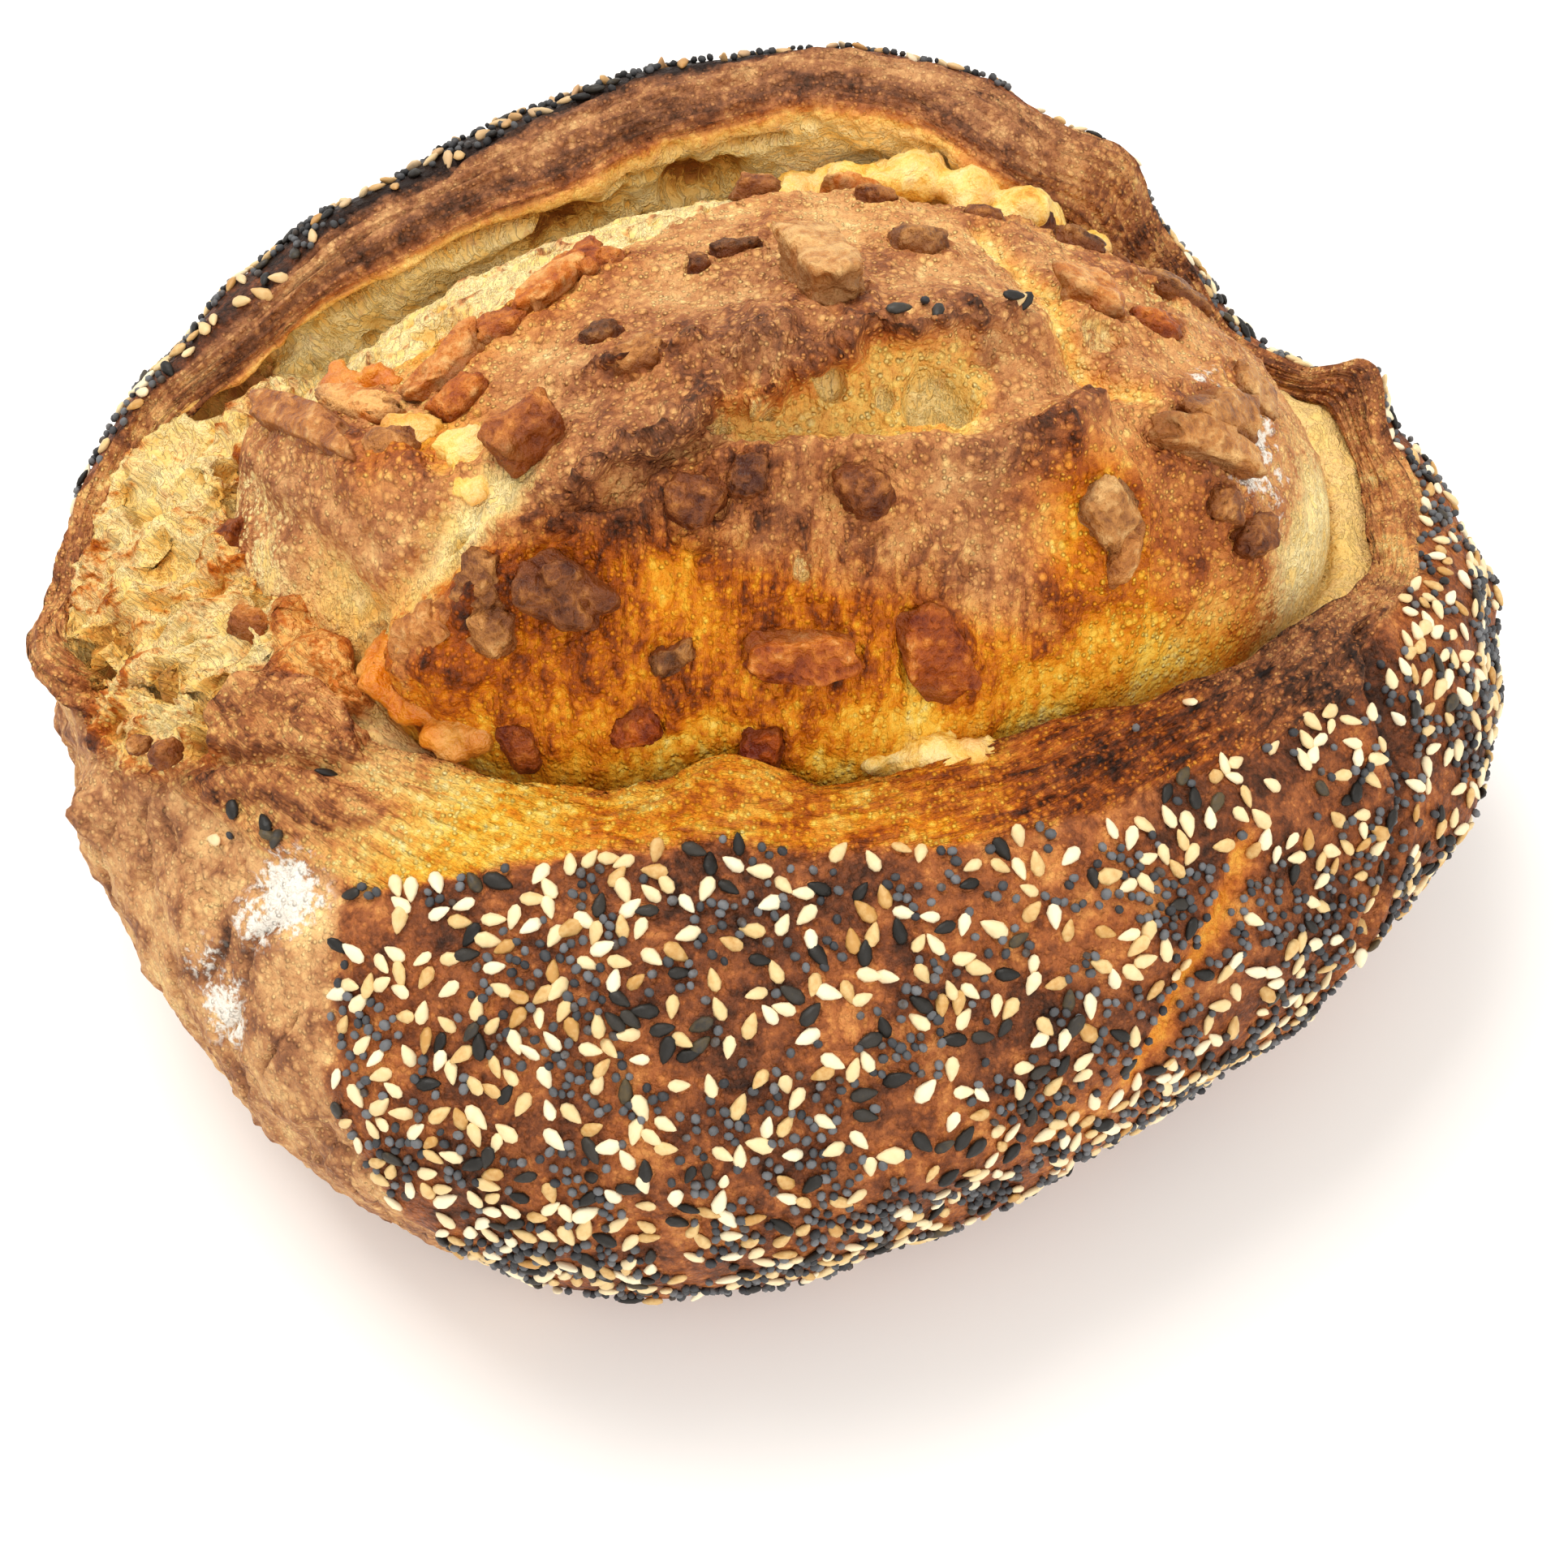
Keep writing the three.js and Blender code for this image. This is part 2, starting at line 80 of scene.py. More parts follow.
def lattice(ix, iy, iz, seed):
    n = ix * 374761393 + iy * 668265263 + iz * 1440662683 + seed * 974711
    n = (n ^ (n >> 13)) * 1274126177
    n = (n ^ (n >> 16)) * 668265263
    return ((n >> 8) & 0xFFFFF) / 0xFFFFF


def ripple(points, size, seed=0):  # soft noise from -1 to 1, its lumps about size across
    p = points / size + 64.5
    cell = np.floor(p).astype(np.int64)
    f = p - cell
    w = f * f * f * (f * (f * 6 - 15) + 10)
    total = np.zeros(points.shape[:-1])
    for step in np.ndindex(2, 2, 2):
        corner = [cell[..., k] + step[k] for k in range(3)]
        push = sum((lattice(*corner, seed + 7 * k) * 2 - 1) * (f[..., k] - step[k]) for k in range(3))
        share = np.prod([w[..., k] if step[k] else 1 - w[..., k] for k in range(3)], axis=0)
        total += push * share
    return np.clip(total * 1.5, -1, 1)


def ripples(points, size, octaves, seed=0, fade=0.5):
    total, amount = np.zeros(points.shape[:-1]), 1.0
    for k in range(octaves):
        total += ripple(points, size * 0.5 ** k, seed + 31 * k) * amount
        amount *= fade
    return total


def creases(points, size, octaves, seed=0):  # sharp-crested noise from 0 to about 1
    total, amount = np.zeros(points.shape[:-1]), 0.6
    for k in range(octaves):
        total += (1 - np.abs(ripple(points, size * 0.5 ** k, seed + 53 * k)) * 1.8).clip(0, 1) ** 2 * amount
        amount *= 0.5
    return total


neighbours = [(dx, dy, dz) for dx in (-1, 0, 1) for dy in (-1, 0, 1) for dz in (-1, 0, 1)]


def bubbles(points, size, seed=0):  # distance to the nearest scattered centre, in sizes, and its number
    p = points / size + 64.5
    cell = np.floor(p).astype(np.int64)
    near = np.full(points.shape[:-1], 9.0)
    number = np.zeros(points.shape[:-1])
    for step in neighbours:
        c = [cell[..., k] + step[k] for k in range(3)]
        gap = np.sqrt(sum((c[k] + lattice(*c, seed + 11 * k) - p[..., k]) ** 2 for k in range(3)))
        number = np.where(gap < near, lattice(*c, seed + 77), number)
        near = np.minimum(near, gap)
    return near, number


# the loaf's main form, as the solid has it

loafForm = {
    "length": 216.0, "height": 101.0, "domeX": 5.0, "domeY": 0.0,
    "middle": (-1.5, 1.8, 0.0),  # brings the middle of the length and width to the origin
}
halfLength = loafForm["length"] / 2
loafHeight = loafForm["height"]

girthRadius = track(halfLength, {
    0: 1.0, 20: 0.975, 45: 0.9, 90: 0.86, 135: 0.89, 160: 0.955, 180: 0.97, 200: 0.94, 217: 0.92,
    240: 0.935, 270: 0.88, 302: 0.82, 328: 0.885, 342: 0.95})
girthHeight = track(loafHeight, {0: 0.4, 90: 0.42, 180: 0.42, 225: 0.34, 270: 0.32, 315: 0.35})
crestRadius = track(halfLength, {
    0: 0.84, 16: 0.84, 32: 0.79, 46: 0.68, 54: 0.63, 76: 0.65, 100: 0.62, 125: 0.585, 146: 0.66,
    164: 0.8, 180: 0.89, 200: 0.83, 211: 0.7, 225: 0.65, 247: 0.575, 274: 0.53, 309: 0.565,
    325: 0.62, 339: 0.71})
crestHeight = track(loafHeight, {
    0: 0.61, 20: 0.6, 34: 0.62, 43: 0.76, 52: 0.87, 76: 0.94, 100: 0.93, 125: 0.91, 146: 0.85,
    164: 0.74, 180: 0.63, 198: 0.62, 211: 0.67, 225: 0.67, 247: 0.67, 274: 0.66, 309: 0.67, 339: 0.65})
lipReach = track(halfLength, {
    0: 0.05, 30: 0.02, 46: 0.065, 76: 0.085, 125: 0.085, 150: 0.085, 175: 0.04, 205: 0.03, 225: 0.055,
    270: 0.055, 320: 0.065})
lipDrop = track(loafHeight, {0: 0.02, 76: 0.05, 125: 0.06, 180: 0.02, 270: 0.015})
valleyRadius = track(halfLength, {
    0: 0.74, 20: 0.76, 40: 0.68, 60: 0.56, 76: 0.55, 100: 0.53, 125: 0.53, 146: 0.59, 164: 0.65,
    190: 0.67, 211: 0.57, 225: 0.55, 247: 0.49, 274: 0.455, 309: 0.48, 325: 0.53, 339: 0.61})
valleyHeight = track(loafHeight, {
    0: 0.55, 30: 0.59, 60: 0.69, 76: 0.65, 125: 0.6, 146: 0.62, 170: 0.65, 200: 0.64, 225: 0.61,
    247: 0.57, 274: 0.56, 309: 0.57, 339: 0.57})
flankWidth = track(halfLength, {0: 0.24, 45: 0.3, 90: 0.2, 150: 0.16, 200: 0.2, 270: 0.28, 320: 0.28})

folds = {
    "upper": {"line": [(-32, -30.5), (-26, -30), (-18, -26), (-10, -21), (-3, -17.4), (4, -12), (12, -9),
                       (20, -7), (27, -4), (34, 0)],
              "rise": 6, "front": 3.8, "back": 12, "lean": 3.2},
    "lower": {"line": [(-44, -40), (-36, -37.5), (-19, -34.5), (-5, -29.5), (13, -26), (24, -24.5),
                       (31, -22.5), (38, -18)],
              "rise": 6, "front": 8, "back": 4.5, "lean": -0.6},
    "small": {"line": [(-25, -9), (-17, -12), (-10, -12.8), (-4, -12.6), (1, -8.5)],
              "rise": 2.5, "front": 2.6, "back": 5, "lean": 1.4},
    "right": {"line": [(46, -6), (54, -14), (62, -21)], "rise": 2.5, "front": 5, "back": 5, "lean": 0},
    "leaf": {"line": [(-74, 8), (-60, -6), (-50, -19), (-40, -31)],
             "rise": 4, "front": 7, "back": 9, "lean": 1.5},
}
dents = [
    {"at": (10, -17.5), "depth": 4.5, "reach": (16, 5)},
    {"at": (33, 8), "depth": 3.5, "reach": (4.5, 9)},
    {"at": (40, -7), "depth": 3, "reach": (5, 7)},
    {"at": (-34, -31), "depth": 3, "reach": (6, 5)},
]
pulls = [
    {"at": (51, 54, 82), "by": (3, 1, 3), "reach": 8},
    {"at": (87, 28, 61), "by": (2, 1, 7), "reach": 6},
    {"at": (-97, -22, 58), "by": (-3, -1, 1), "reach": 7},
    {"at": (-88, -43, 50), "by": (-3, -2, 3), "reach": 5},
    {"at": (-40, -40, 78), "by": (-4, -3, 1), "reach": 8},
    {"at": (-4, -53, 66), "by": (0, 2, 4), "reach": 8},
]


def toLine(x, y, line):  # distance to a bent line, its side from -1 to 1, and how far along it from 0 to 1
    best = np.full(np.shape(x), np.inf)
    side, share = np.ones(np.shape(x)), np.zeros(np.shape(x))
    count = len(line) - 1
    for i in range(count):
        (ax, ay), (bx, by) = line[i], line[i + 1]
        dx, dy = bx - ax, by - ay
        t = np.clip(((x - ax) * dx + (y - ay) * dy) / (dx * dx + dy * dy), 0, 1)
        gap = np.hypot(x - ax - t * dx, y - ay - t * dy)
        across = (dx * (y - ay) - dy * (x - ax)) / math.hypot(dx, dy) / np.maximum(gap, 1e-6)
        nearer = gap < best - 1e-9
        level = (gap < best + 1e-9) & (np.abs(across) > np.abs(side))
        side = np.where(nearer | level, across, side)
        share = np.where(nearer, (i + t) / count, share)
        best = np.minimum(best, gap)
    return best, side, share


def sided(side, left, right):  # one value on the left of a line, another on its right, blended round its ends
    return (left + right) / 2 + side * (left - right) / 2


def foldRelief(x, y):
    height = np.zeros(np.shape(x))
    for fold in folds.values():
        gap, side, _ = toLine(x, y, fold["line"])
        height += fold["rise"] * hill(gap / sided(side, fold["back"], fold["front"]))
    for dent in dents:
        height -= dent["depth"] * spot(x, y, dent["at"], dent["reach"])
    return height


def swell(x, y, z):
    return (0.9 * np.sin(0.09 * x + 0.05 * y + 1.3) * np.sin(0.11 * y - 0.07 * z + 0.4)
            + 0.6 * np.sin(0.21 * x - 0.13 * z) * np.sin(0.19 * y + 2.1)
            + 0.5 * np.sin(0.31 * z + 0.17 * x + 0.8) * np.sin(0.27 * y - 0.11 * x))


def openEnd(x, y):  # 1 over the torn crumb at the left end
    return (1 - smooth(-60, -42, x)) * between(-60, -45, 22, 40, y)


def tornRelief(x, y):
    lumps = (np.sin(0.42 * x + 0.2 * y) * np.sin(0.37 * y - 0.12 * x + 0.8)
             + 0.5 * np.sin(0.71 * x - 0.3 * y + 2) * np.sin(0.63 * y + 0.25 * x))
    return (2.2 + 1.9 * lumps) * openEnd(x, y)


def domeHeight(x, y):
    return (loafHeight - 3 - 0.004 * (x - loafForm["domeX"]) ** 2 - 0.0045 * (y - loafForm["domeY"]) ** 2
            + foldRelief(x, y) * 0.8)


def wallProfile(degrees):
    girth, waist = girthRadius(degrees), girthHeight(degrees)
    crest, top = crestRadius(degrees), crestHeight(degrees)
    reach, drop = lipReach(degrees), lipDrop(degrees)
    valley, floor = valleyRadius(degrees), valleyHeight(degrees)
    zero = girth * 0
    return [(girth * 0.36, zero), (girth * 0.72, zero), (girth * 0.86, zero + 1.5),
            (girth * 0.955, waist * 0.4), (girth, waist), (girth * 0.965, waist + (top - waist) * 0.42),
            (girth + (crest - girth) * 0.52, waist + (top - waist) * 0.82), (crest, top),
            (crest - reach, top - drop), (crest - reach * 0.6, top - drop - (top - floor) * 0.35),
            (valley + reach * 0.4, floor + 2), (valley, floor)]


def along(stations, position):
    i = min(int(position), len(stations) - 2)
    t = position - i
    pick = [stations[min(max(k, 0), len(stations) - 1)] for k in (i - 1, i, i + 1, i + 2)]
    out = []
    for axis in (0, 1):
        a, b, c, d = (p[axis] for p in pick)
        out.append(0.5 * (2 * b + (c - a) * t + (2 * a - 5 * b + 4 * c - d) * t * t
                          + (3 * b - a - 3 * c + d) * t ** 3))
    return out


def wallRing(degrees, position, stations):
    radius, z = along(stations, position)
    z = np.maximum(z, 0)
    angle = np.radians(degrees)
    x, y = radius * np.cos(angle), radius * np.sin(angle)
    out = swell(x, y, z) * smooth(2, 4, position) if position > 2 else 0
    x, y = x + out * np.cos(angle), y + out * np.sin(angle)
    if position > 8:
        z = z + tornRelief(x, y) * smooth(8, 9, position)
    return np.stack([x, y, z], -1)


def domeRing(degrees, share):
    foot = valleyRadius(degrees)
    radius, angle = foot * share, np.radians(degrees)
    x, y = radius * np.cos(angle), radius * np.sin(angle)
    inside = np.clip((foot - radius) / flankWidth(degrees), 0, 1)
    rise = np.sqrt(1 - (1 - inside) ** 2)
    floor = valleyHeight(degrees) + tornRelief(x, y)
    return np.stack([x, y, floor + (domeHeight(x, y) - floor) * rise], -1)


def pulled(points):
    start = points.copy()
    for pull in pulls:
        gap = ((start - np.array(pull["at"])) ** 2).sum(-1)
        points = points + np.exp(-gap / pull["reach"] ** 2)[..., None] * np.array(pull["by"])
    return points


def facing(grid):  # the way that each point of a ring grid faces
    beside = np.roll(grid, -1, 1) - np.roll(grid, 1, 1)
    normal = np.cross(beside, np.gradient(grid, axis=0))
    return normal / np.maximum(np.linalg.norm(normal, axis=-1, keepdims=True), 1e-9)


def within(x, y, outline, soft):  # 1 inside a closed outline and 0 outside it, soft at the edge
    gap, _, _ = toLine(x, y, outline + outline[:1])
    inside = np.zeros(np.shape(x), bool)
    for (ax, ay), (bx, by) in zip(outline, outline[1:] + outline[:1]):
        if ay != by:
            inside ^= ((ay > y) != (by > y)) & (x < (bx - ax) * (y - ay) / (by - ay) + ax)
    return smooth(-soft, soft, np.where(inside, gap, -gap))


def spot(x, y, at, reach, turn=0.0):  # a soft oval patch, 1 in the middle
    c, s = math.cos(math.radians(turn)), math.sin(math.radians(turn))
    u, v = (x - at[0]) * c + (y - at[1]) * s, (y - at[1]) * c - (x - at[0]) * s
    return np.exp(-(u / reach[0]) ** 2 - (v / reach[1]) ** 2)


def ball(points, at, reach):  # a soft round patch in space
    return np.exp(-((points - np.array(at)) ** 2).sum(-1) / reach ** 2)


def tuckedIn(ring, share, drop):  # a ring drawn in to a share of its width and lowered by drop
    return ring * np.array([share, share, 1]) - np.array([0, 0, drop])


def editAll():
    bpy.ops.object.mode_set(mode="EDIT")
    bpy.ops.mesh.select_all(action="SELECT")


def setField(mesh, name, values):  # one value, or one vector, at each vertex
    kind, key = ("FLOAT", "value") if np.ndim(values) == 1 else ("FLOAT_VECTOR", "vector")
    field = mesh.attributes.new(name, kind, "POINT")
    field.data.foreach_set(key, np.asarray(values, np.float32).ravel())


def inFrame(points):  # from the form's millimetres to the frame's metres
    return (points + np.array(loafForm["middle"])) * mm


def coords(mesh):
    return np.array([v.co for v in mesh.vertices])


def setCoords(mesh, points):
    mesh.vertices.foreach_set("co", inFrame(points).ravel())


def joined(pieces):  # makes one piece of several
    bpy.ops.object.select_all(action="DESELECT")
    for piece in pieces:
        piece.select_set(True)
    bpy.context.view_layer.objects.active = pieces[0]
    bpy.ops.object.join()
    return pieces[0]


def wrappedBall(name, grid, bottom, top, fields):
    # a sheet of faces wrapped into a closed ball: its columns go round, its rows from underneath to the top
    rows, segments = grid.shape[0] + 1, grid.shape[1]
    bpy.ops.mesh.primitive_grid_add(x_subdivisions=segments, y_subdivisions=rows, size=2)
    piece = bpy.context.object
    piece.name = piece.data.name = name
    mesh = piece.data
    place = coords(mesh)
    segment = np.rint((place[:, 0] + 1) / 2 * segments).astype(int) % segments
    row = np.rint((place[:, 1] + 1) / 2 * rows).astype(int)
    inner = np.clip(row - 1, 0, grid.shape[0] - 1)
    place = grid[inner, segment]
    place[row == 0] = bottom
    place[row == rows] = top
    setCoords(mesh, place)
    for key, values in fields.items():
        setField(mesh, key, np.clip(values[inner, segment], 0, 1.5))
    mesh.update()
    editAll()
    bpy.ops.mesh.remove_doubles(threshold=1e-6)
    bpy.ops.object.mode_set(mode="OBJECT")
    bpy.ops.object.shade_smooth()
    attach(piece, "root")
    bpy.ops.object.select_all(action="DESELECT")
    return piece


# the crust: underside, seeded wall, bare lips, the ear's inner face and the torn left end
crustLook = {
    "segments": 860, "wallRings": 64, "lipRings": 50, "innerRings": 64,
    "bareFrom": 176,  # degrees where the seeds of the back end
    "wallLumps": 0.6, "lipGrain": 0.5, "innerCrags": 1.3, "tornCrags": 1.7,  # heights of relief
    "wallToast": 0.695, "footToast": 0.64, "lipToast": 0.52, "innerToast": 0.36, "tornToast": 0.34,
    "wallOil": 0.56, "lipOil": 0.35, "tornOil": 0.3,
}
seedsStop = track(1.0, {  # profile station where the seeds end and the bare lip starts
    0: 6.78, 30: 6.6, 55: 6.5, 95: 6.95, 129: 6.95, 145: 6.98, 158: 7.12, 168: 7.1, 178: 6.6, 188: 6.2,
    231: 6.2, 249: 6.75, 275: 6.66, 301: 6.6, 319: 6.4, 339: 6.5, 351: 6.9})
tearStation = track(1.0, {  # profile station above which the left end is torn open
    0: 8, 165: 8.3, 178: 7.9, 187: 7.4, 192: 6.9, 197: 6.3, 202: 5.8, 207: 5.6, 212: 5.8, 220: 6.5,
    235: 7.3, 260: 8})
earHoles = [  # holes in the ear's open face: degrees, station, reach in mm, reach in stations, depth
    (163, 9.2, 5, 0.3, 4), (152, 8.5, 5, 0.35, 4.5), (139, 8.25, 10, 0.2, 6), (127, 8.3, 8, 0.14, 4),
    (107, 8.42, 6, 0.12, 6), (116, 8.3, 2, 0.08, 3), (113, 8.25, 1.6, 0.06, 3), (93, 8.35, 6, 0.12, 6),
    (122, 8.7, 12, 0.3, 4), (100, 8.8, 8, 0.3, 4),
]
shards = {  # thin flaps of skin that stand off the torn end: outline in plan, height, softness of its edge
    "flap": {"outline": [(-63.5, -23), (-61, -20.5), (-58, -21.5), (-56, -25), (-55, -29.5), (-52.3, -34),
                         (-49.4, -38), (-53.5, -38.5), (-58.5, -35.5), (-62.3, -30.5)],
             "tall": 3.4, "soft": 1.0, "toast": 0.46, "oil": 0.9},
    "shard": {"outline": [(-65.2, -32.4), (-62.5, -30.8), (-59.5, -33.2), (-54.6, -38.5), (-50.6, -44),
                          (-49, -48.6), (-56.9, -47.2), (-63.2, -46.2), (-67.8, -44), (-69.4, -40.5),
                          (-66.6, -36.4)],
              "tall": 3.6, "soft": 0.8, "toast": 0.55, "oil": 0.35},
    "ledge": {"outline": [(-69.5, -47.3), (-61.5, -47.6), (-55, -49.2), (-50, -51.5), (-44, -56),
                          (-52, -56.5), (-60, -52), (-66.5, -50.2)],
              "tall": 2.0, "soft": 0.9, "toast": 0.57, "oil": 0.4},
}
tornCaves = [  # deep cells of the torn crumb: plan place, reach, depth
    ((-64, -17), 3.6, 4.0), ((-88, -25), 4.6, 4.5), ((-91, -31), 4.0, 4.5), ((-76, -21), 2.2, 3),
    ((-73, -18), 1.8, 3), ((-71, -2), 4.0, 2.8), ((-67, 8), 3.4, 3), ((-76, -33), 2.4, 2.6),
    ((-69, -37), 3.0, 4.0), ((-71, -43), 2.6, 3.5), ((-82, -12), 2.6, 2.4), ((-84, -37), 2.6, 2.6),
    ((-61, -27), 2.4, 2.5),
]
lipMarks = [  # browner and paler places on the lip: degrees and station, reach, change of toast
    ((310, 6.9), (24, 0.35), 0.14), ((232, 7.0), (16, 0.9), -0.22), ((239, 7.9), (14, 0.5), -0.05),
]
seamLine = [(77, 67), (79, 62), (82, 55), (81, 49), (76, 41), (72, 33)]  # down the right of the wall: x and z
splitLine = [(58, 59), (54.5, 54), (50.5, 49.5), (47.5, 45.5), (45, 42)]
flourPatches = [
    ((-56.7, -62.5, 60.6), 4.2, 1.2), ((-61, -63.5, 57), 3.4, 0.7), ((-66.8, -69.4, 45.7), 4.5, 0.75),
    ((-70, -66, 50), 4, 0.5),
]


def crustGrid():
    c = crustLook
    segments = int(c["segments"] * detail)
    degrees = np.linspace(0, 360, 2001)  # columns lie closer together round the torn end
    room = 1 + 1.3 * smooth(172, 184, degrees) * smooth(252, 238, degrees)
    crowd = np.concatenate([[0], np.cumsum((room[1:] + room[:-1]) / 2)])
    degrees = np.interp(np.arange(segments) / segments * crowd[-1], crowd, degrees)
    positions = np.concatenate([
        [0.0, 0.5, 1.0, 1.4, 1.7, 1.88], np.linspace(2, 6.3, int(c["wallRings"] * detail)),
        np.linspace(6.3, 8.0, int(c["lipRings"] * detail))[1:],
        np.linspace(8.0, 11, int(c["innerRings"] * detail))[1:]])
    stations = wallProfile(degrees)
    grid = pulled(np.stack([wallRing(degrees, p, stations) for p in positions]))
    return degrees[None, :] + grid[..., 0] * 0, positions[:, None] + grid[..., 0] * 0, grid


def makeCrust():
    c = crustLook
    deg, pos, grid = crustGrid()
    normal = facing(grid)
    x, y, z = grid[..., 0], grid[..., 1], grid[..., 2]
    wander = ripples(grid, 16, 3, 5)
    jitter = ripples(grid, 5, 3, 15)
    away = smooth(2.0, 3.0, pos)
    stops = seedsStop(deg) + 0.05 * wander + 0.04 * jitter
    wall = away * (1 - smooth(-0.05, 0.05, pos - stops))
    bareTo = 231 + 6.4 * np.clip(6.2 - pos, 0, 4)
    bare = smooth(c["bareFrom"] - 1, c["bareFrom"] + 1, deg + wander * 3 + jitter) * (
        1 - smooth(bareTo - 1, bareTo + 1, deg + wander * 2 + jitter))
    ear = between(44, 56, 160, 176, deg)
    opening = 8.45 - 0.55 * ear  # station where the skin turns into open crumb
    lip = smooth(-0.05, 0.05, pos - stops) * (1 - smooth(opening - 0.12, opening + 0.12, pos))
    inner = smooth(opening - 0.1, opening + 0.1, pos + 0.06 * wander)
    tornFrom = tearStation(deg)
    torn = openEnd(x, y) * smooth(tornFrom, tornFrom + 0.5, pos + wander * 0.4 + jitter * 0.25)

    turn = np.radians(deg)
    ribbon = np.stack([np.cos(turn) * 90, np.sin(turn) * 90, pos * 26], -1) * np.array([0.1, 0.1, 1.0])
    streak = ripples(ribbon, 1.8, 3, 9)
    strands = creases(ribbon, 3.2, 3, 10)
    relief = wall * (c["wallLumps"] * ripples(grid, 13, 4, 1) + 0.18 * ripples(grid, 2.2, 2, 2))
    blister = creases(grid, 10, 3, 3)
    cracks = creases(grid * np.array([1, 1, 0.45]), 9, 2, 33)
    relief += wall * bare * (0.9 * blister - 0.5 + 0.3 * ripples(grid, 3, 2, 8)
                             - 0.9 * smooth(0.55, 0.8, cracks))
    relief += lip * (c["lipGrain"] * streak * 1.2 + 0.6 * (strands - 0.4) + 0.4 * ripples(grid, 6, 3, 4))
    # the scored skin ends in a thin turned edge above the seeds
    edge = hill((pos - stops - 0.07) / 0.07) * (1 - torn) * (1 - ear)
    relief += 0.9 * edge * (0.7 + 0.6 * wander)
    pores, number = bubbles(grid * np.array([1, 1, 1.3]), 4.6, 3)
    pits = (1 - smooth(0.12, 0.42, pores)) * (number > 0.45)
    crag = ripples(grid, 6, 4, 6)
    relief += inner * ear * (c["innerCrags"] * 0.8 * crag - 1.5 * pits)
    # long cracks and wrinkles along the ear's band
    bandLine = creases(ribbon * np.array([1, 1, 1.2]), 6, 3, 34)
    relief += lip * ear * (-0.7 * smooth(0.5, 0.85, bandLine) + 0.35 * ripples(grid, 2.5, 2, 35))

    fibre = creases(grid * np.array([1, 1, 0.6]) + 1.5 * jitter[..., None], 5.5, 3, 7)
    drawn = np.stack([x * 0.5 + y * 0.25, y * 0.9 - x * 0.2, z * 0.5], -1)  # the way the crumb was pulled
    strings = creases(drawn + jitter[..., None], 2.6, 3, 41)
    fine = ripples(grid, 1.8, 2, 9)
    cells, cellNumber = bubbles(grid + 1.2 * jitter[..., None], 5.2, 12)
    cavity = (1 - smooth(0.18, 0.46, cells)) * (cellNumber > 0.4)
    # painted shade: the crumb is coloured darker inside its cells
    caveShade = 0.55 * cavity
    combed = np.stack([x * 0.4 + y * 0.3, y * 0.8 - x * 0.3, z * 0.5], -1)
    hairs = creases(combed + 0.6 * jitter[..., None], 1.3, 2, 42)
    relief += torn * (c["tornCrags"] * (fibre - 0.55) - 1.7 * cavity + 0.9 * (strings - 0.5) + 0.35 * fine
                      + 0.7 * (hairs - 0.5) + 0.9 * wander)
    # each cave is sunk into the crumb and given painted shade inside
    for at, reach, depth in tornCaves:
        here = hill((np.hypot(x - at[0], y - at[1]) + 0.9 * jitter) / (0.85 * reach))
        relief -= 0.75 * depth * here * torn
        caveShade = np.maximum(caveShade, 1.2 * here)
    shardOver, shardRim, shardToast, shardOil = np.zeros((4, *deg.shape))
    for shard in shards.values():
        over = within(x + 0.8 * jitter, y + 0.8 * fine, shard["outline"], shard["soft"])
        curled = over * (0.75 + 0.25 * np.clip(1 - over, 0, 1)) * shard["tall"]
        relief = relief * (1 - 0.75 * over) + curled * (1 + 0.25 * jitter) + over * 0.35 * fibre
        shardRim = np.maximum(shardRim, 4 * over * (1 - over))
        shardOver = np.maximum(shardOver, over)
        shardToast = np.maximum(shardToast, shard["toast"] * over)
        shardOil = np.maximum(shardOil, shard["oil"] * over)
    torn = torn * (1 - shardOver)
    relief += inner * (1 - ear) * (1 - torn) * 0.8 * crag
    hollow = np.zeros(deg.shape)
    for holeDegrees, station, wide, tall, depth in earHoles:
        across = (deg - holeDegrees) * np.radians(1) * 70 / wide
        inside = hill(across ** 2 + ((pos - station) / tall) ** 2 + 0.3 * jitter)
        relief -= depth * inside
        hollow = np.maximum(hollow, inside)
    seam, _, _ = toLine(x, z, seamLine)
    seamSide = smooth(0, -8, y) * (pos < 6.9)
    seamHere = hill((seam + 0.5 * jitter) / 1.5) * seamSide * smooth(2.5, 3.5, pos)
    split, _, _ = toLine(x, z, splitLine)
    splitHere = hill((split + 0.6 * jitter) / 2.0) * smooth(-30, -50, y) * (pos < 6.6)
    relief += 0.8 * hill((seam - 2.4) / 1.2) * seamSide - 1.8 * seamHere - 1.3 * splitHere
    relief *= away
    grid = grid + normal * relief[..., None]
    grid[..., 2] = np.maximum(grid[..., 2], 0)

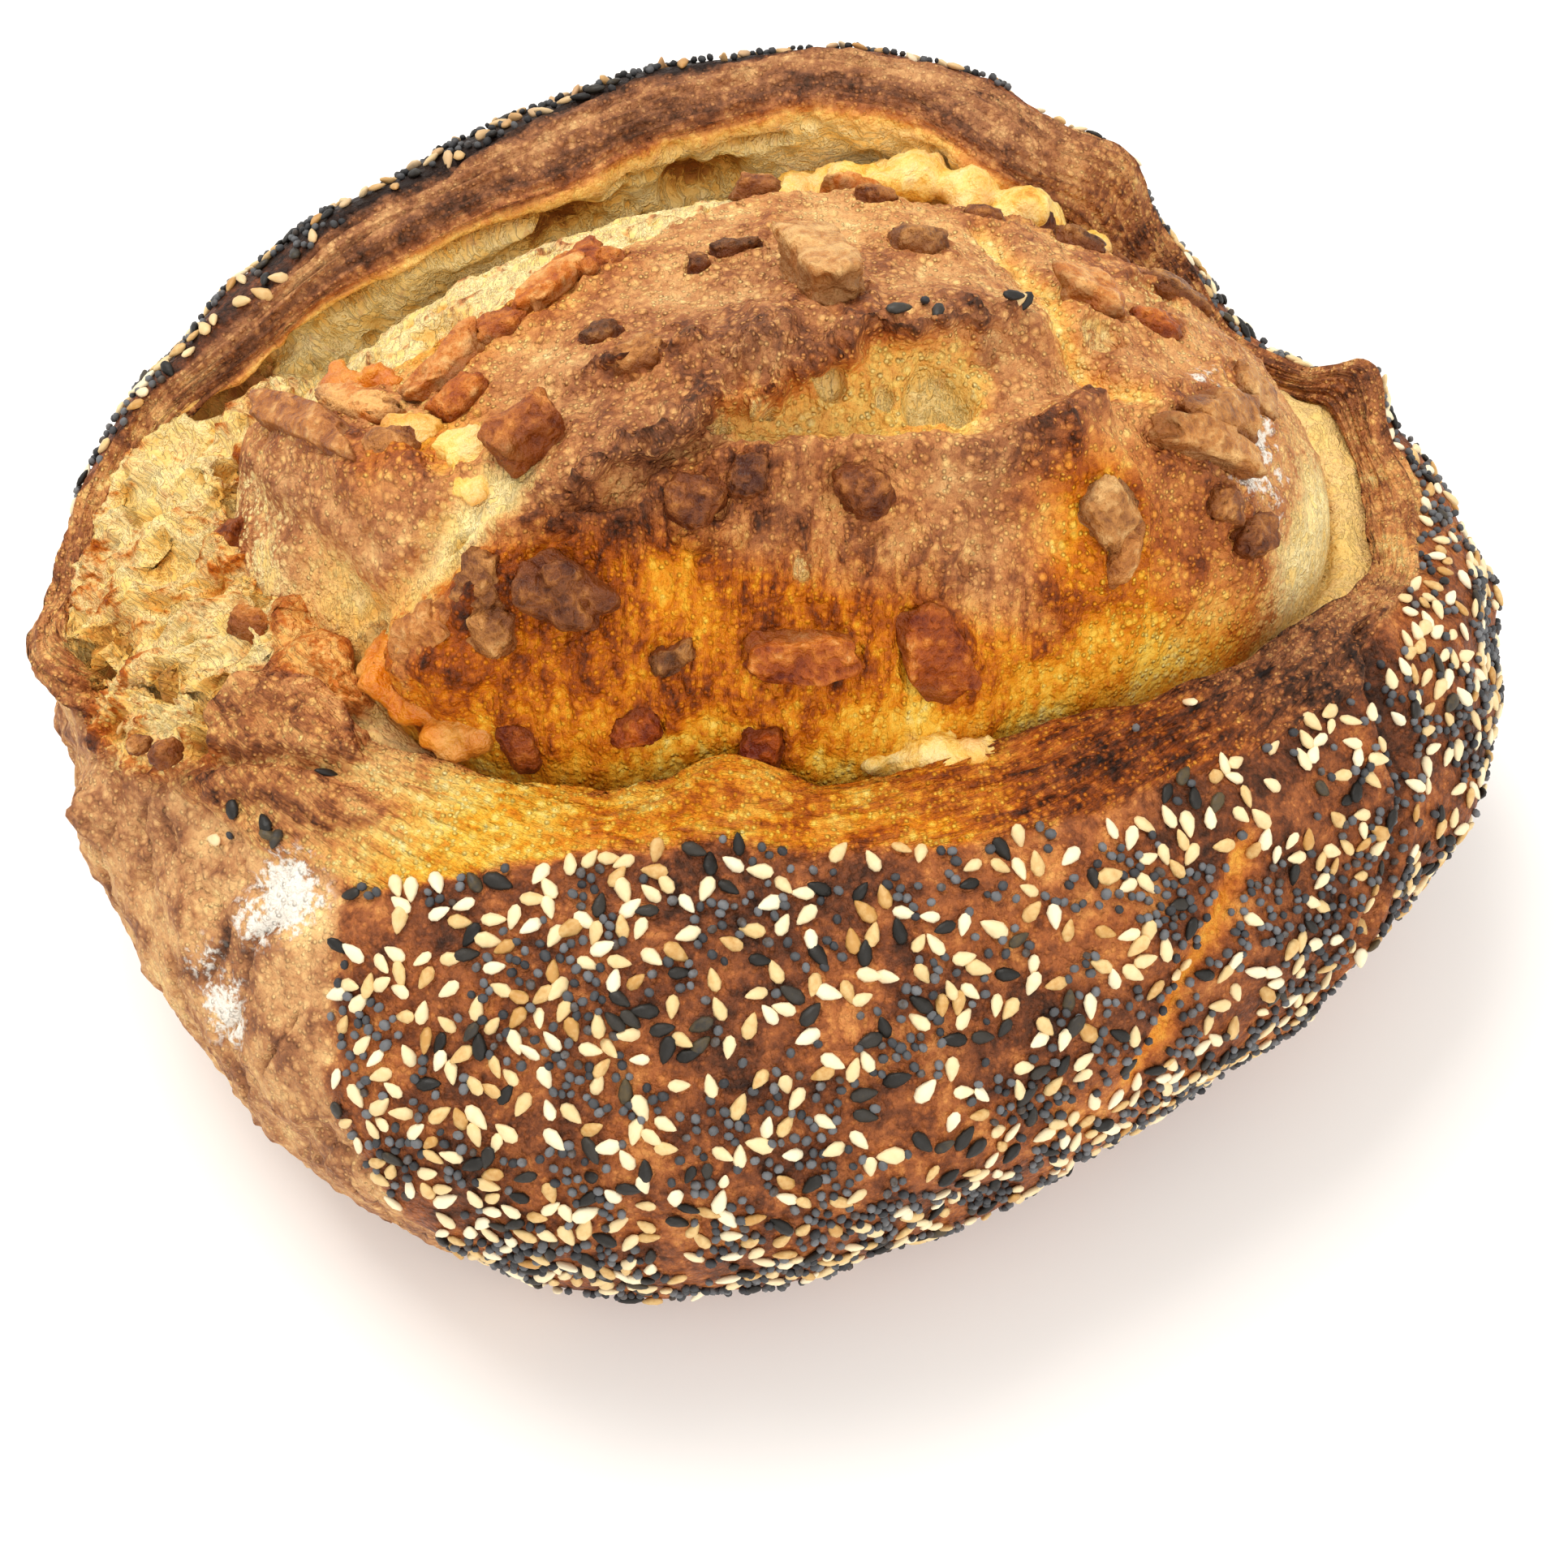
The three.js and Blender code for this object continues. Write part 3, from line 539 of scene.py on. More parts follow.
    char = np.exp(-((deg - 118) / 46) ** 4) * smooth(5.2, 6.6, pos)  # the oven's black on top of the ear
    char *= 1 - smooth(-0.05, 0.3, pos - stops + 0.1 * jitter)
    toast = c["wallToast"] + 0.13 * wander + 0.08 * jitter + 0.36 * char
    toast = np.where(pos < 2.6, c["footToast"], toast)
    toast += bare * wall * (-0.17 + 0.24 * (blister - 0.5) + 0.10 * smooth(0.5, 0.8, cracks))
    front = between(226, 240, 318, 336, deg)
    side = between(286, 312, 345, 358, deg)
    lipToast = (c["lipToast"] + 0.07 * wander + 0.10 * streak * (1 - 0.6 * ear) - 0.08 * front + 0.16 * side
                + 0.34 * char + 0.07 * ear + 0.10 * (1 - 0.6 * ear) * smooth(0.5, 0.85, strands))
    toast = mixed(toast, lipToast, lip)
    for at, reach, browner in lipMarks:
        toast += lip * browner * spot(deg, pos, at, reach)
    # its front term makes the lip paler where the dome's overhang shades it: painted light
    toast += lip * (0.09 * between(6, 16, 40, 52, deg) - 0.03 * front * smooth(290, 270, deg)
                    - 0.07 * smooth(335, 345, deg))
    line = hill((pos - opening + 0.3) / 0.16) * ear
    toast += 0.16 * line
    innerToast = c["innerToast"] + 0.07 * crag - 0.08 * smooth(opening, opening + 0.4, pos)
    toast = mixed(toast, innerToast, inner)
    tips = smooth(0.55, 0.95, fibre) * smooth(-0.5, 0.4, wander + 0.5 * jitter)
    outer = 1 - smooth(0.0, 0.9, pos - tornFrom + 0.3 * jitter + 0.3 * wander)
    tips = np.maximum(tips, smooth(0.6, 0.95, strings) * smooth(-0.1, 0.5, wander - 0.6 * jitter))
    tips = np.maximum(tips, smooth(0.55, 0.9, hairs) * smooth(-0.5, 0.3, fine - 0.4 * wander))
    tornToast = c["tornToast"] + 0.20 * tips + 0.20 * outer + 0.12 * wander + 0.10 * jitter
    toast = mixed(toast, tornToast, torn)
    toast = toast * (1 - shardOver) + shardToast + 0.16 * shardRim + shardOver * 0.08 * jitter
    crumb = np.maximum(inner * smooth(opening + 0.05, opening + 0.5, pos + 0.1 * wander) * (0.5 + 0.5 * ear),
                       torn * (0.85 - 0.45 * tips) * (1 - 0.4 * outer))
    # painted shade also in the ear's pits and in its holes
    caveShade = np.maximum(0.8 * caveShade * torn, inner * ear * (0.04 + 0.32 * pits))
    caveShade = np.maximum(caveShade, hollow)
    oily = c["wallOil"] * wall * (1 - bare) + 0.5 * inner * (1 - ear)
    oily += lip * (c["lipOil"] + 0.62 * front - 0.3 * ear - 0.1 * side)
    toast -= 0.06 * hill((pos - opening - 0.12) / 0.2) * ear
    oily += 0.6 * hill((pos - opening - 0.08) / 0.26) * ear
    oily += torn * (c["tornOil"] + 0.2 * tips + 0.3 * wander)
    oily = oily * (1 - shardOver) + shardOil
    melt = inner * front * 0.7 * smooth(-0.2, 0.4, crag)
    toast += 0.10 * seamHere - 0.30 * splitHere
    oily += 0.3 * splitHere
    flour = np.maximum.reduce([amount * ball(grid, at, reach) for at, reach, amount in flourPatches])
    fields = {"toast": toast, "oily": oily, "crumb": crumb, "caveShade": caveShade, "melt": melt, "flour": flour,
              "streak": lip * (1 - torn) * (1 - 0.8 * ear),
              "pebble": 0.3 + 0.7 * lip * (1 - 0.6 * ear) - 0.15 * torn + 0.4 * wall * bare}
    last = grid[-1].mean(0)
    tuck = np.stack([tuckedIn(grid[-1], 0.7, 6), tuckedIn(grid[-1], 0.3, 8)])
    full = np.concatenate([grid, tuck])
    fields = {k: np.concatenate([v, v[-1:], v[-1:]]) for k, v in fields.items()}
    middle = np.array([last[0], last[1], tuck[1, :, 2].mean()])
    piece = wrappedBall("crust", full, np.zeros(3), middle, fields)
    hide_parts("loaf")
    print("crust", len(piece.data.polygons))
    seedsOn = wall * (1 - bare) * smooth(2.7, 3.3, pos) * (1 - 0.8 * splitHere) * (1 - 0.9 * seamHere)
    return piece, grid, seedsOn, {"deg": deg, "pos": pos}


# the burst crumb: the dome with its torn folds, small nubs and melted patches
domeLook = {"segments": 780, "rings": 200, "lumps": 0.9, "drapes": 0.8, "blisters": 0.28,
            "toast": 0.515, "oil": 0.22, "darkest": 0.72}
leafOutline = [
    (-76, 10.5), (-70, 6), (-63.5, -1.2), (-56.8, -7.6), (-50.8, -12.4), (-45, -16.5), (-41, -21),
    (-38.2, -25), (-38.4, -27.8), (-41, -29.6), (-44, -30.6), (-48, -28.4), (-53.5, -22.6),
    (-57.5, -18.2), (-62.5, -12.5), (-67.5, -5.5), (-72.5, 1),
]
# lumps of sausage, each a piece of its own
sausage = {
    "block_back": {"at": (6.8, 3.2), "size": (18, 7.5, 6.5), "turn": -74, "out": 0.75, "square": 0.8,
                   "dark": -0.3, "seed": 1, "cuts": 0},
    "block_left": {"at": (-27.6, -22.4), "size": (9, 7, 6), "turn": 40, "out": 0.7, "square": 0.55,
                   "dark": 0.45, "seed": 2, "cuts": 2, "shade": 0.6},
    "strip_left": {"at": (-40.3, -1.8), "size": (13.5, 5.5, 4.5), "turn": 56, "out": 0.55, "square": 0.35,
                   "dark": -0.1, "seed": 3, "bend": 0.30, "shade": 0.8},
    "strip_back": {"at": (-28, 10.4), "size": (12.5, 6, 4.5), "turn": 58, "out": 0.55, "square": 0.3,
                   "dark": -0.1, "seed": 4, "bend": -0.16, "shade": 1.0},
    "strip_leaf": {"at": (-56.6, -8.8), "size": (28, 5, 5), "turn": -42, "out": 0.75, "square": 0.4,
                   "dark": 0.3, "seed": 5, "bend": -0.1, "shade": 0.35},
    "lump_ridge": {"at": (-23, -38.0), "size": (11.5, 7, 6.5), "turn": -30, "out": 0.5, "square": 0.3,
                   "rough": 0.5, "dark": 0.8, "seed": 6, "cuts": 1},
    "block_front": {"at": (4, -41.2), "size": (12.5, 6.5, 6), "turn": -4, "out": 0.5, "square": 0.5,
                    "dark": 0.45, "seed": 7, "shade": 0.9},
    "chunk_front": {"at": (20, -38.8), "size": (12, 7.5, 5), "turn": -55, "out": 0.36, "square": 0.4,
                    "dark": 0.45, "seed": 8, "shade": 0.9},
    "chunk_right": {"at": (42, 9), "size": (10, 8.5, 5), "turn": 20, "out": 0.45, "square": 0.3,
                    "dark": -0.1, "seed": 9, "shade": 0.6},
    "strip_right": {"at": (54, -12.5), "size": (20, 5, 5), "turn": 8, "out": 0.5, "square": 0.3,
                    "dark": 0, "seed": 10, "bend": -0.08},
    "strip_rim": {"at": (57.2, -6.4), "size": (17, 6.5, 5.5), "turn": 26, "out": 0.5, "square": 0.3,
                  "dark": 0.2, "seed": 11, "shade": 0.1},
    "lump_tip": {"at": (-39.6, -37.6), "size": (9, 7.5, 7), "turn": 20, "out": 0.5, "square": 0.2,
                 "dark": 0.1, "seed": 12, "shade": 0.4, "cuts": 1},
}
nubs = [  # small pieces of filling: plan place, length, width, height, turn, how rosy, how dark
    ((19.3, 15.8), 8, 6.4, 5.5, -8, 0, 0.3), ((-35.6, -37.2), 6.5, 6, 5, 0, 0.4, 0.4),
    ((-32.6, -35.9), 7, 6.5, 5.5, 70, 0.1, 0.5), ((-32.2, -39.2), 7.5, 6.5, 6, 80, 0.1, 0.45),
    ((-8.3, -31.6), 7, 6, 6.6, 60, 0.3, 0.7), ((-2.0, -29.6), 4.2, 5.6, 5.4, 0, 0.2, 0.9),
    ((11.1, -29.4), 7, 6, 7, 15, 0.3, 0.72), ((61.6, -16.5), 8, 5.5, 5.5, 40, 0.2, 0.6),
    ((57.2, -16.9), 6, 4.5, 4.5, 0, 0.2, 0.5), ((-20.4, -3.4), 5.4, 4.4, 4.2, 30, 0, 0.75),
    ((-15.5, -12.5), 7, 5, 4, 10, 0.2, 0.3), ((40.9, -23.9), 8, 7, 5, -30, 0.1, 0),
    ((43.2, -25.8), 4.5, 9, 5, 0, 0.3, 0.1), ((-0.8, -47.1), 5, 8, 4.6, -20, 1, 0.9),
    ((-15.4, -46), 6, 5, 4, 30, 1, 0.8), ((-30, -45.5), 5, 7, 4, 25, 0.8, 0.7),
    ((-23, -49.6), 9, 6, 6, 15, 1, 1.1), ((-11.2, -42), 5.5, 3.6, 3.6, 20, 0, 0.9),
    ((38.5, 42), 6.5, 6, 7.5, 0, 0.1, 0.8), ((-34.2, 4.6), 7, 6, 4.6, 20, 0.8, 0.2),
    ((-24, 15.4), 5, 8.5, 5, 10, 0.9, 0.3), ((-20.8, 15), 4.5, 4, 4, 0, 0.8, 0.3),
    ((-9.1, 10.5), 3.2, 3.2, 3, 0, 0.1, 0.9), ((-4.1, 14.3), 6.4, 3, 3, 0, 0, 0.8),
    ((-9.2, -8.6), 2.6, 2.6, 2.6, 0, 0, 0.9), ((43.3, 30.1), 8, 5, 4, -20, 0, 0.7),
    ((52, 40), 6, 5, 4, 0, 0.2, 0.6), ((50.6, 8.6), 8, 4.6, 3.6, 0, 0.9, 0.4),
    ((-52.2, -5.4), 15, 5, 4.6, -38, 1, -0.4), ((-38.2, -9.0), 7.5, 6, 5, 50, 0.9, 0.2),
    ((-45.8, -17.6), 8.5, 7, 7.5, -20, 0.2, 0.4), ((56, 24), 10, 6.5, 4, 20, 0, 0.5),
    ((64, 3), 8, 7, 4, 0, 0.1, 0.1), ((30, 30), 6, 4.5, 3.4, 0, 0.2, 0.5),
    ((-2, 37), 7, 5.5, 4, 0, 0.3, 0.3), ((15, 33), 6, 4.6, 3.6, 40, 0.2, 0.5),
    ((12, 43), 9, 5.5, 5, 10, 1, -0.3), ((-66.8, -25.4), 5.4, 3.8, 4.2, -20, 0.5, 0.2),
    ((-71.5, -11.5), 5, 5, 4.5, 0, 0.6, 0.5), ((-73, -46.5), 4, 3.4, 3.4, 10, 0.3, 0.5),
    ((-77, -44), 2.6, 2.4, 2.6, 0, 0.2, 0.5), ((57.5, -32.5), 7, 2.6, 4, 30, 1, 0.3),
]
tints = [  # browner and paler zones of the dome: plan place, reach, turn, change of toast, change of oil
    ((-8, -32), (26, 5), 0, 0.01, 0.10), ((-26, -36), (11, 6), 20, 0.08, 0.15),
    ((22, -28), (9, 4.5), 0, 0.05, 0), ((27, -32), (7, 4.5), 0, 0.08, 0),
    ((-4, -34), (6, 3.5), 0, 0.05, 0), ((8, -30), (10, 5), 0, 0.02, 0), ((2, 32), (22, 11), 0, -0.07, 0),
    ((-14, 6), (16, 8), 20, 0.02, 0), ((-30, 12), (13, 9), 45, -0.06, 0.35),
    ((-45, 6), (10, 8), 30, -0.14, 0.55), ((-40, -17), (7, 6), 0, -0.12, 0.6),
    ((12, 8), (14, 8), 0, 0.03, 0), ((48, 8), (12, 18), 0, -0.02, 0.05),
    ((48, -18), (14, 8), 20, 0.04, 0.1), ((38, -34), (8, 4), 20, 0.05, 0.2),
    ((55, 20), (10, 8), 0, 0.04, 0), ((38, -28), (9, 6), -20, -0.04, 0.45),
    ((-12, -36.5), (4, 2.5), 0, -0.07, 0.1), ((-8, -38), (3, 3), 0, -0.06, 0.1),
    ((30, -36), (4, 2), 0, -0.22, 0.2), ((19, -43), (4, 2.2), 0, -0.2, 0.3),
]
paleSide = [
    (16, 62), (12, 40), (2, 35), (-6, 32), (-14, 24), (-22, 19), (-29, 12), (-38, 9), (-46, 5), (-54, 3),
    (-60, 0), (-74, 9), (-82, 30), (-50, 70),
]  # the crumb behind the browned skin
alveoli = [  # open bubbles: plan place, reach, squeeze, depth
    ((20.8, -14.4), 4.8, 1.15, 3.4), ((7.5, -13.6), 2.2, 1.5, 1.7), ((-0.2, -17.2), 2.2, 1.5, 1.5),
    ((-5.7, -21.7), 1.8, 1.6, 1.3), ((-1.2, -22.6), 1.3, 1.2, 0.9), ((14.2, -14), 1.4, 1.3, 0.9),
    ((-36, -31.5), 1.6, 1.4, 1.4), ((-50.5, -31.5), 2.4, 2.2, 1.6), ((52.9, 18.5), 4.6, 1.2, 1.6),
    ((42.4, 1.1), 3.2, 1.2, 1.8), ((4.0, -35.5), 1.2, 1.2, 0.8), ((-57, 10.5), 4.4, 1.4, 3.0),
    ((-45.5, 13.5), 3.6, 1.5, 2.4),
]
goldenCrack = [
    (27, 27), (29.2, 23.9), (34, 14), (36.6, 7.2), (36.3, 1.7), (38, -2.2), (41.9, -6.6), (47, -9),
]
edges = {  # the folds' torn edges: how rough, how deep the hollow below, how far the brink stands up
    "upper": {"rough": 2.6, "middle": 0.42, "under": 1.3, "brink": 1.1},
    "lower": {"rough": 1.8, "middle": 0.4, "under": 0.9, "brink": 0.8},
    "small": {"rough": 1.6, "middle": 0.4, "under": 0, "brink": 0.6},
    "right": {"rough": 1.5, "middle": 0.4, "under": 0, "brink": 0},
}
spurLine = [(25.5, -25), (31, -23), (35.5, -20), (39, -15.5)]
windowOutline = [(-6.5, -19.5), (-3, -15.5), (4, -12.3), (16, -9), (25, -7), (27.5, -12), (25, -19.5),
                 (14, -22.6), (4, -24), (-2, -24.6)]  # the yellow crumb below the upper fold
browBand = [
    (-28, -34.5), (-23, -33.8), (-15.6, -33.3), (-10, -33.6), (-5, -33.8), (3, -33.8), (11, -33.8),
    (22, -32), (31, -30.5),
]


def makeDome():
    d = domeLook
    segments, rings = int(d["segments"] * detail), int(d["rings"] * detail)
    degrees = np.arange(segments) * 360 / segments
    shares = 1 - np.linspace(0, 1, rings, endpoint=False) ** 1.12
    plan = np.stack([domeRing(degrees, s) for s in shares])
    grid = pulled(plan)
    x, y = plan[..., 0], plan[..., 1]
    share = shares[:, None] + x * 0
    edge = smooth(1.0, 0.93, share)
    crumple = ripples(plan, 7, 3, 21)
    lumps = ripples(plan, 9, 4, 22)
    fine = ripples(plan, 2.6, 2, 23)
    near, under, brink = {}, {}, {}  # for each fold: its edge, the hollow below it and the very rim
    normal = facing(grid)
    upright = 0.9 * smooth(0.35, 0.75, normal[..., 2])
    normal = normal + upright[..., None] * np.array([0, 0, 1.0])  # on top the relief rises rather than leans
    normal /= np.linalg.norm(normal, axis=-1, keepdims=True)
    for name, fold in folds.items():  # torn edges lean out over what lies below them
        gap, side, spread = toLine(x + 0.8 * fine, y + 1.8 * crumple, fold["line"])
        ends = between(-0.02, 0.1, 0.9, 1.02, spread)
        lean = (fold["lean"] * between(-0.02, 0.25, 0.75, 1.0, spread) * ends
                * hill(gap / sided(side, 4.5, 1.5)) * (1 + 0.9 * crumple))
        grid[..., 1] -= lean
        grid[..., 2] += 0.35 * np.abs(lean)
        near[name] = hill(gap / sided(side, 4.0, 2.6)) * ends
        under[name] = hill((gap - 2.8) / 2.0) * np.clip(-side, 0, 1) * ends
        brink[name] = hill((gap + 0.5 * fine) / 0.9) * ends * smooth(-0.5, 0.6, crumple + lumps)
    near["lower"] *= 0.6 + 0.4 * np.cos(x * 0.16 + 0.5)
    leaf = within(x + 0.5 * fine, y + 0.8 * crumple, leafOutline, 1.5)
    leafRim = 4 * leaf * (1 - leaf)
    spur, spurSide, _ = toLine(x, y + crumple, spurLine)
    spurHere = hill(spur / sided(spurSide, 3.0, 1.6))
    ragged = creases(plan, 5, 4, 24)
    band, _, bandShare = toLine(x + 0.8 * fine, y + 2.0 * crumple, browBand)
    bandHere = hill(band / 2.5) * between(-0.02, 0.1, 0.85, 1.02, bandShare)
    quiet = between(-16, -8, 16, 26, x)  # here the lower fold is pale
    face = smooth(-22, -34, y + 0.12 * np.abs(x)) * (1 - smooth(66, 80, x))
    drape = ripples(plan * np.array([1, 0.28, 0.28]), 4.2, 3, 28)
    fibre = creases(plan * np.array([1, 0.32, 0.32]) + 0.5 * crumple[..., None], 3.2, 3, 31)
    blister, number = bubbles(plan * np.array([1, 0.75, 0.75]), 1.6, 25)
    raised = (1 - smooth(0.2, 0.55, blister)) * (number > 0.4)
    relief = d["lumps"] * lumps + 0.25 * fine + d["blisters"] * raised
    relief += d["drapes"] * drape * (0.35 + 0.65 * face)
    for name, e in edges.items():
        relief += e["rough"] * near[name] * (ragged - e["middle"])
        relief += e["brink"] * brink[name] - e["under"] * under[name]
    relief += 2.2 * spurHere + 1.2 * spurHere * (ragged - 0.4)
    relief += 2.0 * bandHere * (ragged - 0.35) + face * (fibre - 0.5)
    relief = relief * (1 - 0.3 * leaf) + 2.2 * leaf + 0.5 * leafRim + 0.5 * leaf * drape
    crack, _, crackShare = toLine(x + 0.8 * fine, y + crumple, goldenCrack)
    crackHere = hill(crack / 1.9) * smooth(0, 0.15, crackShare)
    relief -= 1.8 * crackHere
    pool = spot(x, y, (-51, -31), (7.5, 8), 20)
    openPool = pool * (1 - leaf)
    gapHere = spot(x, y, (-33.5, -29.3), (8.5, 3.4), 38) * (1 - leaf)
    relief -= 2.0 * openPool + 1.4 * gapHere
    clingAndShade = np.zeros(x.shape)  # skin that was drawn up round the lumps, and painted crevice shade darkening the crust round each lump
    lumpsHere = [(p["at"], *p["size"], p["turn"], 0, 0) for p in sausage.values()]
    for at, long, wide, tall, turn, _, _ in nubs + lumpsHere:
        here = spot(x + 0.5 * fine, y + 0.4 * lumps, at, (long * 0.62, wide * 0.62), turn)
        clingAndShade = np.maximum(clingAndShade, here)
        relief += 0.09 * tall * here + 0.5 * hill((here - 0.32) / 0.12)
    pale = within(x + 1.2 * crumple + 0.5 * fine, y + 1.2 * lumps, paleSide, 1.3)
    webs = creases(plan * np.array([1, 1, 0.6]), 6, 3, 29)
    cells, cellNumber = bubbles(plan + crumple[..., None], 4.4, 30)
    holes = (1 - smooth(0.16, 0.42, cells)) * (cellNumber > 0.5)
    relief = relief * (1 - 0.5 * pale) - pale * (1.6 + 1.6 * holes - 0.9 * (webs - 0.5))
    window = within(x + 0.8 * fine, y + crumple, windowOutline, 1.4)
    hollow = np.zeros(x.shape)
    for at, reach, squeeze, depth in alveoli:
        gap = np.hypot(x - at[0], (y - at[1]) * squeeze) + 0.3 * fine
        inside = 1 - smooth(reach * 0.72, reach * 1.02, gap)
        relief += -depth * inside + 0.5 * hill((gap - reach * 1.1) / 0.5)
        hollow = np.maximum(hollow, inside)
    relief *= 0.25 + 0.75 * edge
    grid = grid + normal * relief[..., None]

    high = plan[..., 2]
    low = 1 - smooth(60, 79, high + 3.5 * lumps + 2 * drape)
    toast = d["toast"] + 0.10 * lumps + 0.08 * ripples(plan, 20, 2, 27) + 0.05 * drape
    oily = d["oil"] + 0.15 * lumps
    flaky = smooth(0.45, 0.8, ragged)
    toast += near["upper"] * (0.09 + 0.12 * flaky) + near["lower"] * (0.02 + 0.09 * flaky) * (1 - 0.8 * quiet)
    toast += bandHere * (0.11 * flaky - 0.01)
    toast += face * (0.12 * smooth(0.55, 0.85, fibre) - 0.12 * smooth(0.42, 0.12, fibre))
    toast += 0.10 * brink["upper"] + 0.08 * brink["lower"] * (1 - 0.7 * quiet) + 0.10 * brink["small"]
    # darker crust round each lump: painted crevice shade
    toast += 0.07 * clingAndShade * (1 + drape)
    toast += 0.10 * near["small"] + 0.20 * spurHere + 0.08 * near["right"]
    slope = smooth(-32.5, -39, y + 0.02 * x) * (1 - smooth(50, 66, x))
    toast += 0.03 * slope
    oily += 0.90 * slope * smooth(0.9, 0.4, near["lower"]) + 0.35 * clingAndShade
    foot = low * smooth(-18, -34, y)
    toast -= 0.26 * foot
    oily += 0.45 * foot
    right = smooth(24, 48, x) * smooth(-12, -26, y)
    toast -= 0.09 * right * smooth(-0.3, 0.4, 0.6 - (high - 62) / 26)
    oily += 0.5 * right
    for at, reach, turn, browner, oilier in tints:
        here = spot(x + crumple, y + crumple, at, reach, turn)
        toast += browner * here
        oily += oilier * here
    toast -= 0.22 * window * (1 - 0.7 * near["upper"]) + 0.26 * crackHere
    oily += 0.55 * window + 0.35 * crackHere
    toast += 0.14 * leafRim * leaf + 0.03 * leaf
    toast = mixed(mixed(toast, 0.10, gapHere), 0.14, openPool)
    oily += 0.55 * openPool
    rimCrumb = smooth(62, 72, x) * smooth(12, 2, y) * (1 - smooth(66, 78, high))
    leftFoot = smooth(-58, -66, x) * (1 - leaf)
    backFoot = smooth(28, 40, y + 0.1 * x) * (1 - smooth(30, 44, x)) * (1 - smooth(80, 88, high))
    toast -= 0.25 * rimCrumb + 0.12 * backFoot
    crumb = np.maximum.reduce([0.8 * openPool, gapHere, 0.12 * window, rimCrumb, 0.9 * leftFoot,
                               0.7 * backFoot, 0.8 * hollow, 0.95 * pale])
    toast -= 0.10 * hollow
    toast = mixed(toast, 0.30 + 0.2 * smooth(0.6, 0.9, webs), 0.7 * pale)
    # painted shade in the crumb's holes, the alveoli and the back foot
    caveShade = np.maximum.reduce([0.1 * hollow, 0.35 * backFoot, 0.55 * pale * holes])
    patchy = smooth(-0.3, 0.3, crumple)
    melt = np.maximum.reduce([
        0.75 * foot * smooth(-0.2, 0.5, lumps + drape), 0.75 * openPool * smooth(-0.6, 0.3, lumps),
        0.8 * spot(x, y, (-46, 7), (8, 5), 40) * patchy,
        0.8 * spot(x, y, (-38, -19), (6, 5), -30) * (1 - leaf),
        0.7 * spot(x, y, (38, 34), (14, 6), -30) * patchy])
    flour = 0.85 * spot(x, y, (61, -5), (6, 8), 30) * smooth(-0.4, 0.5, fine + crumple)
    flour = np.maximum(flour, 0.8 * spot(x, y, (61, -11), (5, 2), 20))
    over = np.maximum(toast - d["darkest"], 0)  # the darkest browns level off
    toast = np.minimum(toast, d["darkest"] + 0.12 * np.tanh(over / 0.12))
    fields = {"toast": toast, "oily": oily, "crumb": crumb, "caveShade": caveShade, "melt": melt, "flour": flour,
              "streak": 0.15 + 0.35 * face * (0.6 + lumps),
              "pebble": (1 - 0.5 * gapHere - 0.5 * pool) * (1 - 0.35 * face) * (1 - 0.6 * pale)}
    skirt = np.stack([tuckedIn(grid[0], 0.6, 5), tuckedIn(grid[0], 1.0, 3)])
    full = np.concatenate([skirt, grid])
    fields = {k: np.concatenate([v[:1], v[:1], v]) for k, v in fields.items()}
    piece = wrappedBall("burst_crumb", full, skirt[0].mean(0), grid[-1].mean(0), fields)
    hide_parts("loaf")
    print("burst crumb", len(piece.data.polygons))
    return piece


# seeds pressed into the crust
seedKinds = {
    "sesame_pale": {"count": 1850, "length": 3.05, "width": 1.85, "thick": 1.0, "segments": 8, "rings": 5,
                    "point": 0.5, "apart": 1.7, "sunk": 0.1, "tilt": 0.26, "clump": 0.45, "right": 0.25,
                    "left": 1.05, "seed": 11},
    "sesame_black": {"count": 500, "length": 3.1, "width": 1.8, "thick": 1.0, "segments": 8, "rings": 5,
                     "point": 0.42, "apart": 1.8, "sunk": 0.1, "tilt": 0.24, "clump": 0.8, "right": -0.5,
                     "left": 0.9, "seed": 12},
    "poppy": {"count": 4200, "length": 1.25, "width": 1.12, "thick": 1.0, "segments": 6, "rings": 4,
              "point": 0.0, "apart": 0.92, "sunk": 0.05, "tilt": 0.5, "clump": 1.9, "right": 0.2,
              "left": 0.7, "seed": 13},
}
seedBlock = 4  # mm; seeds are only compared with those in the blocks round their own
straySeeds = [  # single seeds on the bare parts: kind, degrees, station
    ("sesame_pale", 330.5, 7.25), ("sesame_black", 227.2, 6.85), ("sesame_black", 218.8, 6.15),
    ("sesame_pale", 218.8, 5.82), ("sesame_black", 226.1, 6.29), ("sesame_black", 228, 6.24),
    ("poppy", 221.1, 5.98), ("sesame_pale", 192, 6.3), ("poppy", 325, 7.1), ("sesame_black", 229.5, 6.2),
]
domeSeeds = [  # seeds on the upper fold: kind, plan place
    ("sesame_pale", (31.4, 0.2)), ("sesame_black", (29.6, -0.6)), ("sesame_black", (33.2, -0.6)),
    ("sesame_black", (16.4, -7.2)), ("sesame_black", (19.4, -6.8)), ("poppy", (20.5, -6.6)),
    ("poppy", (18, -5.4)),
]


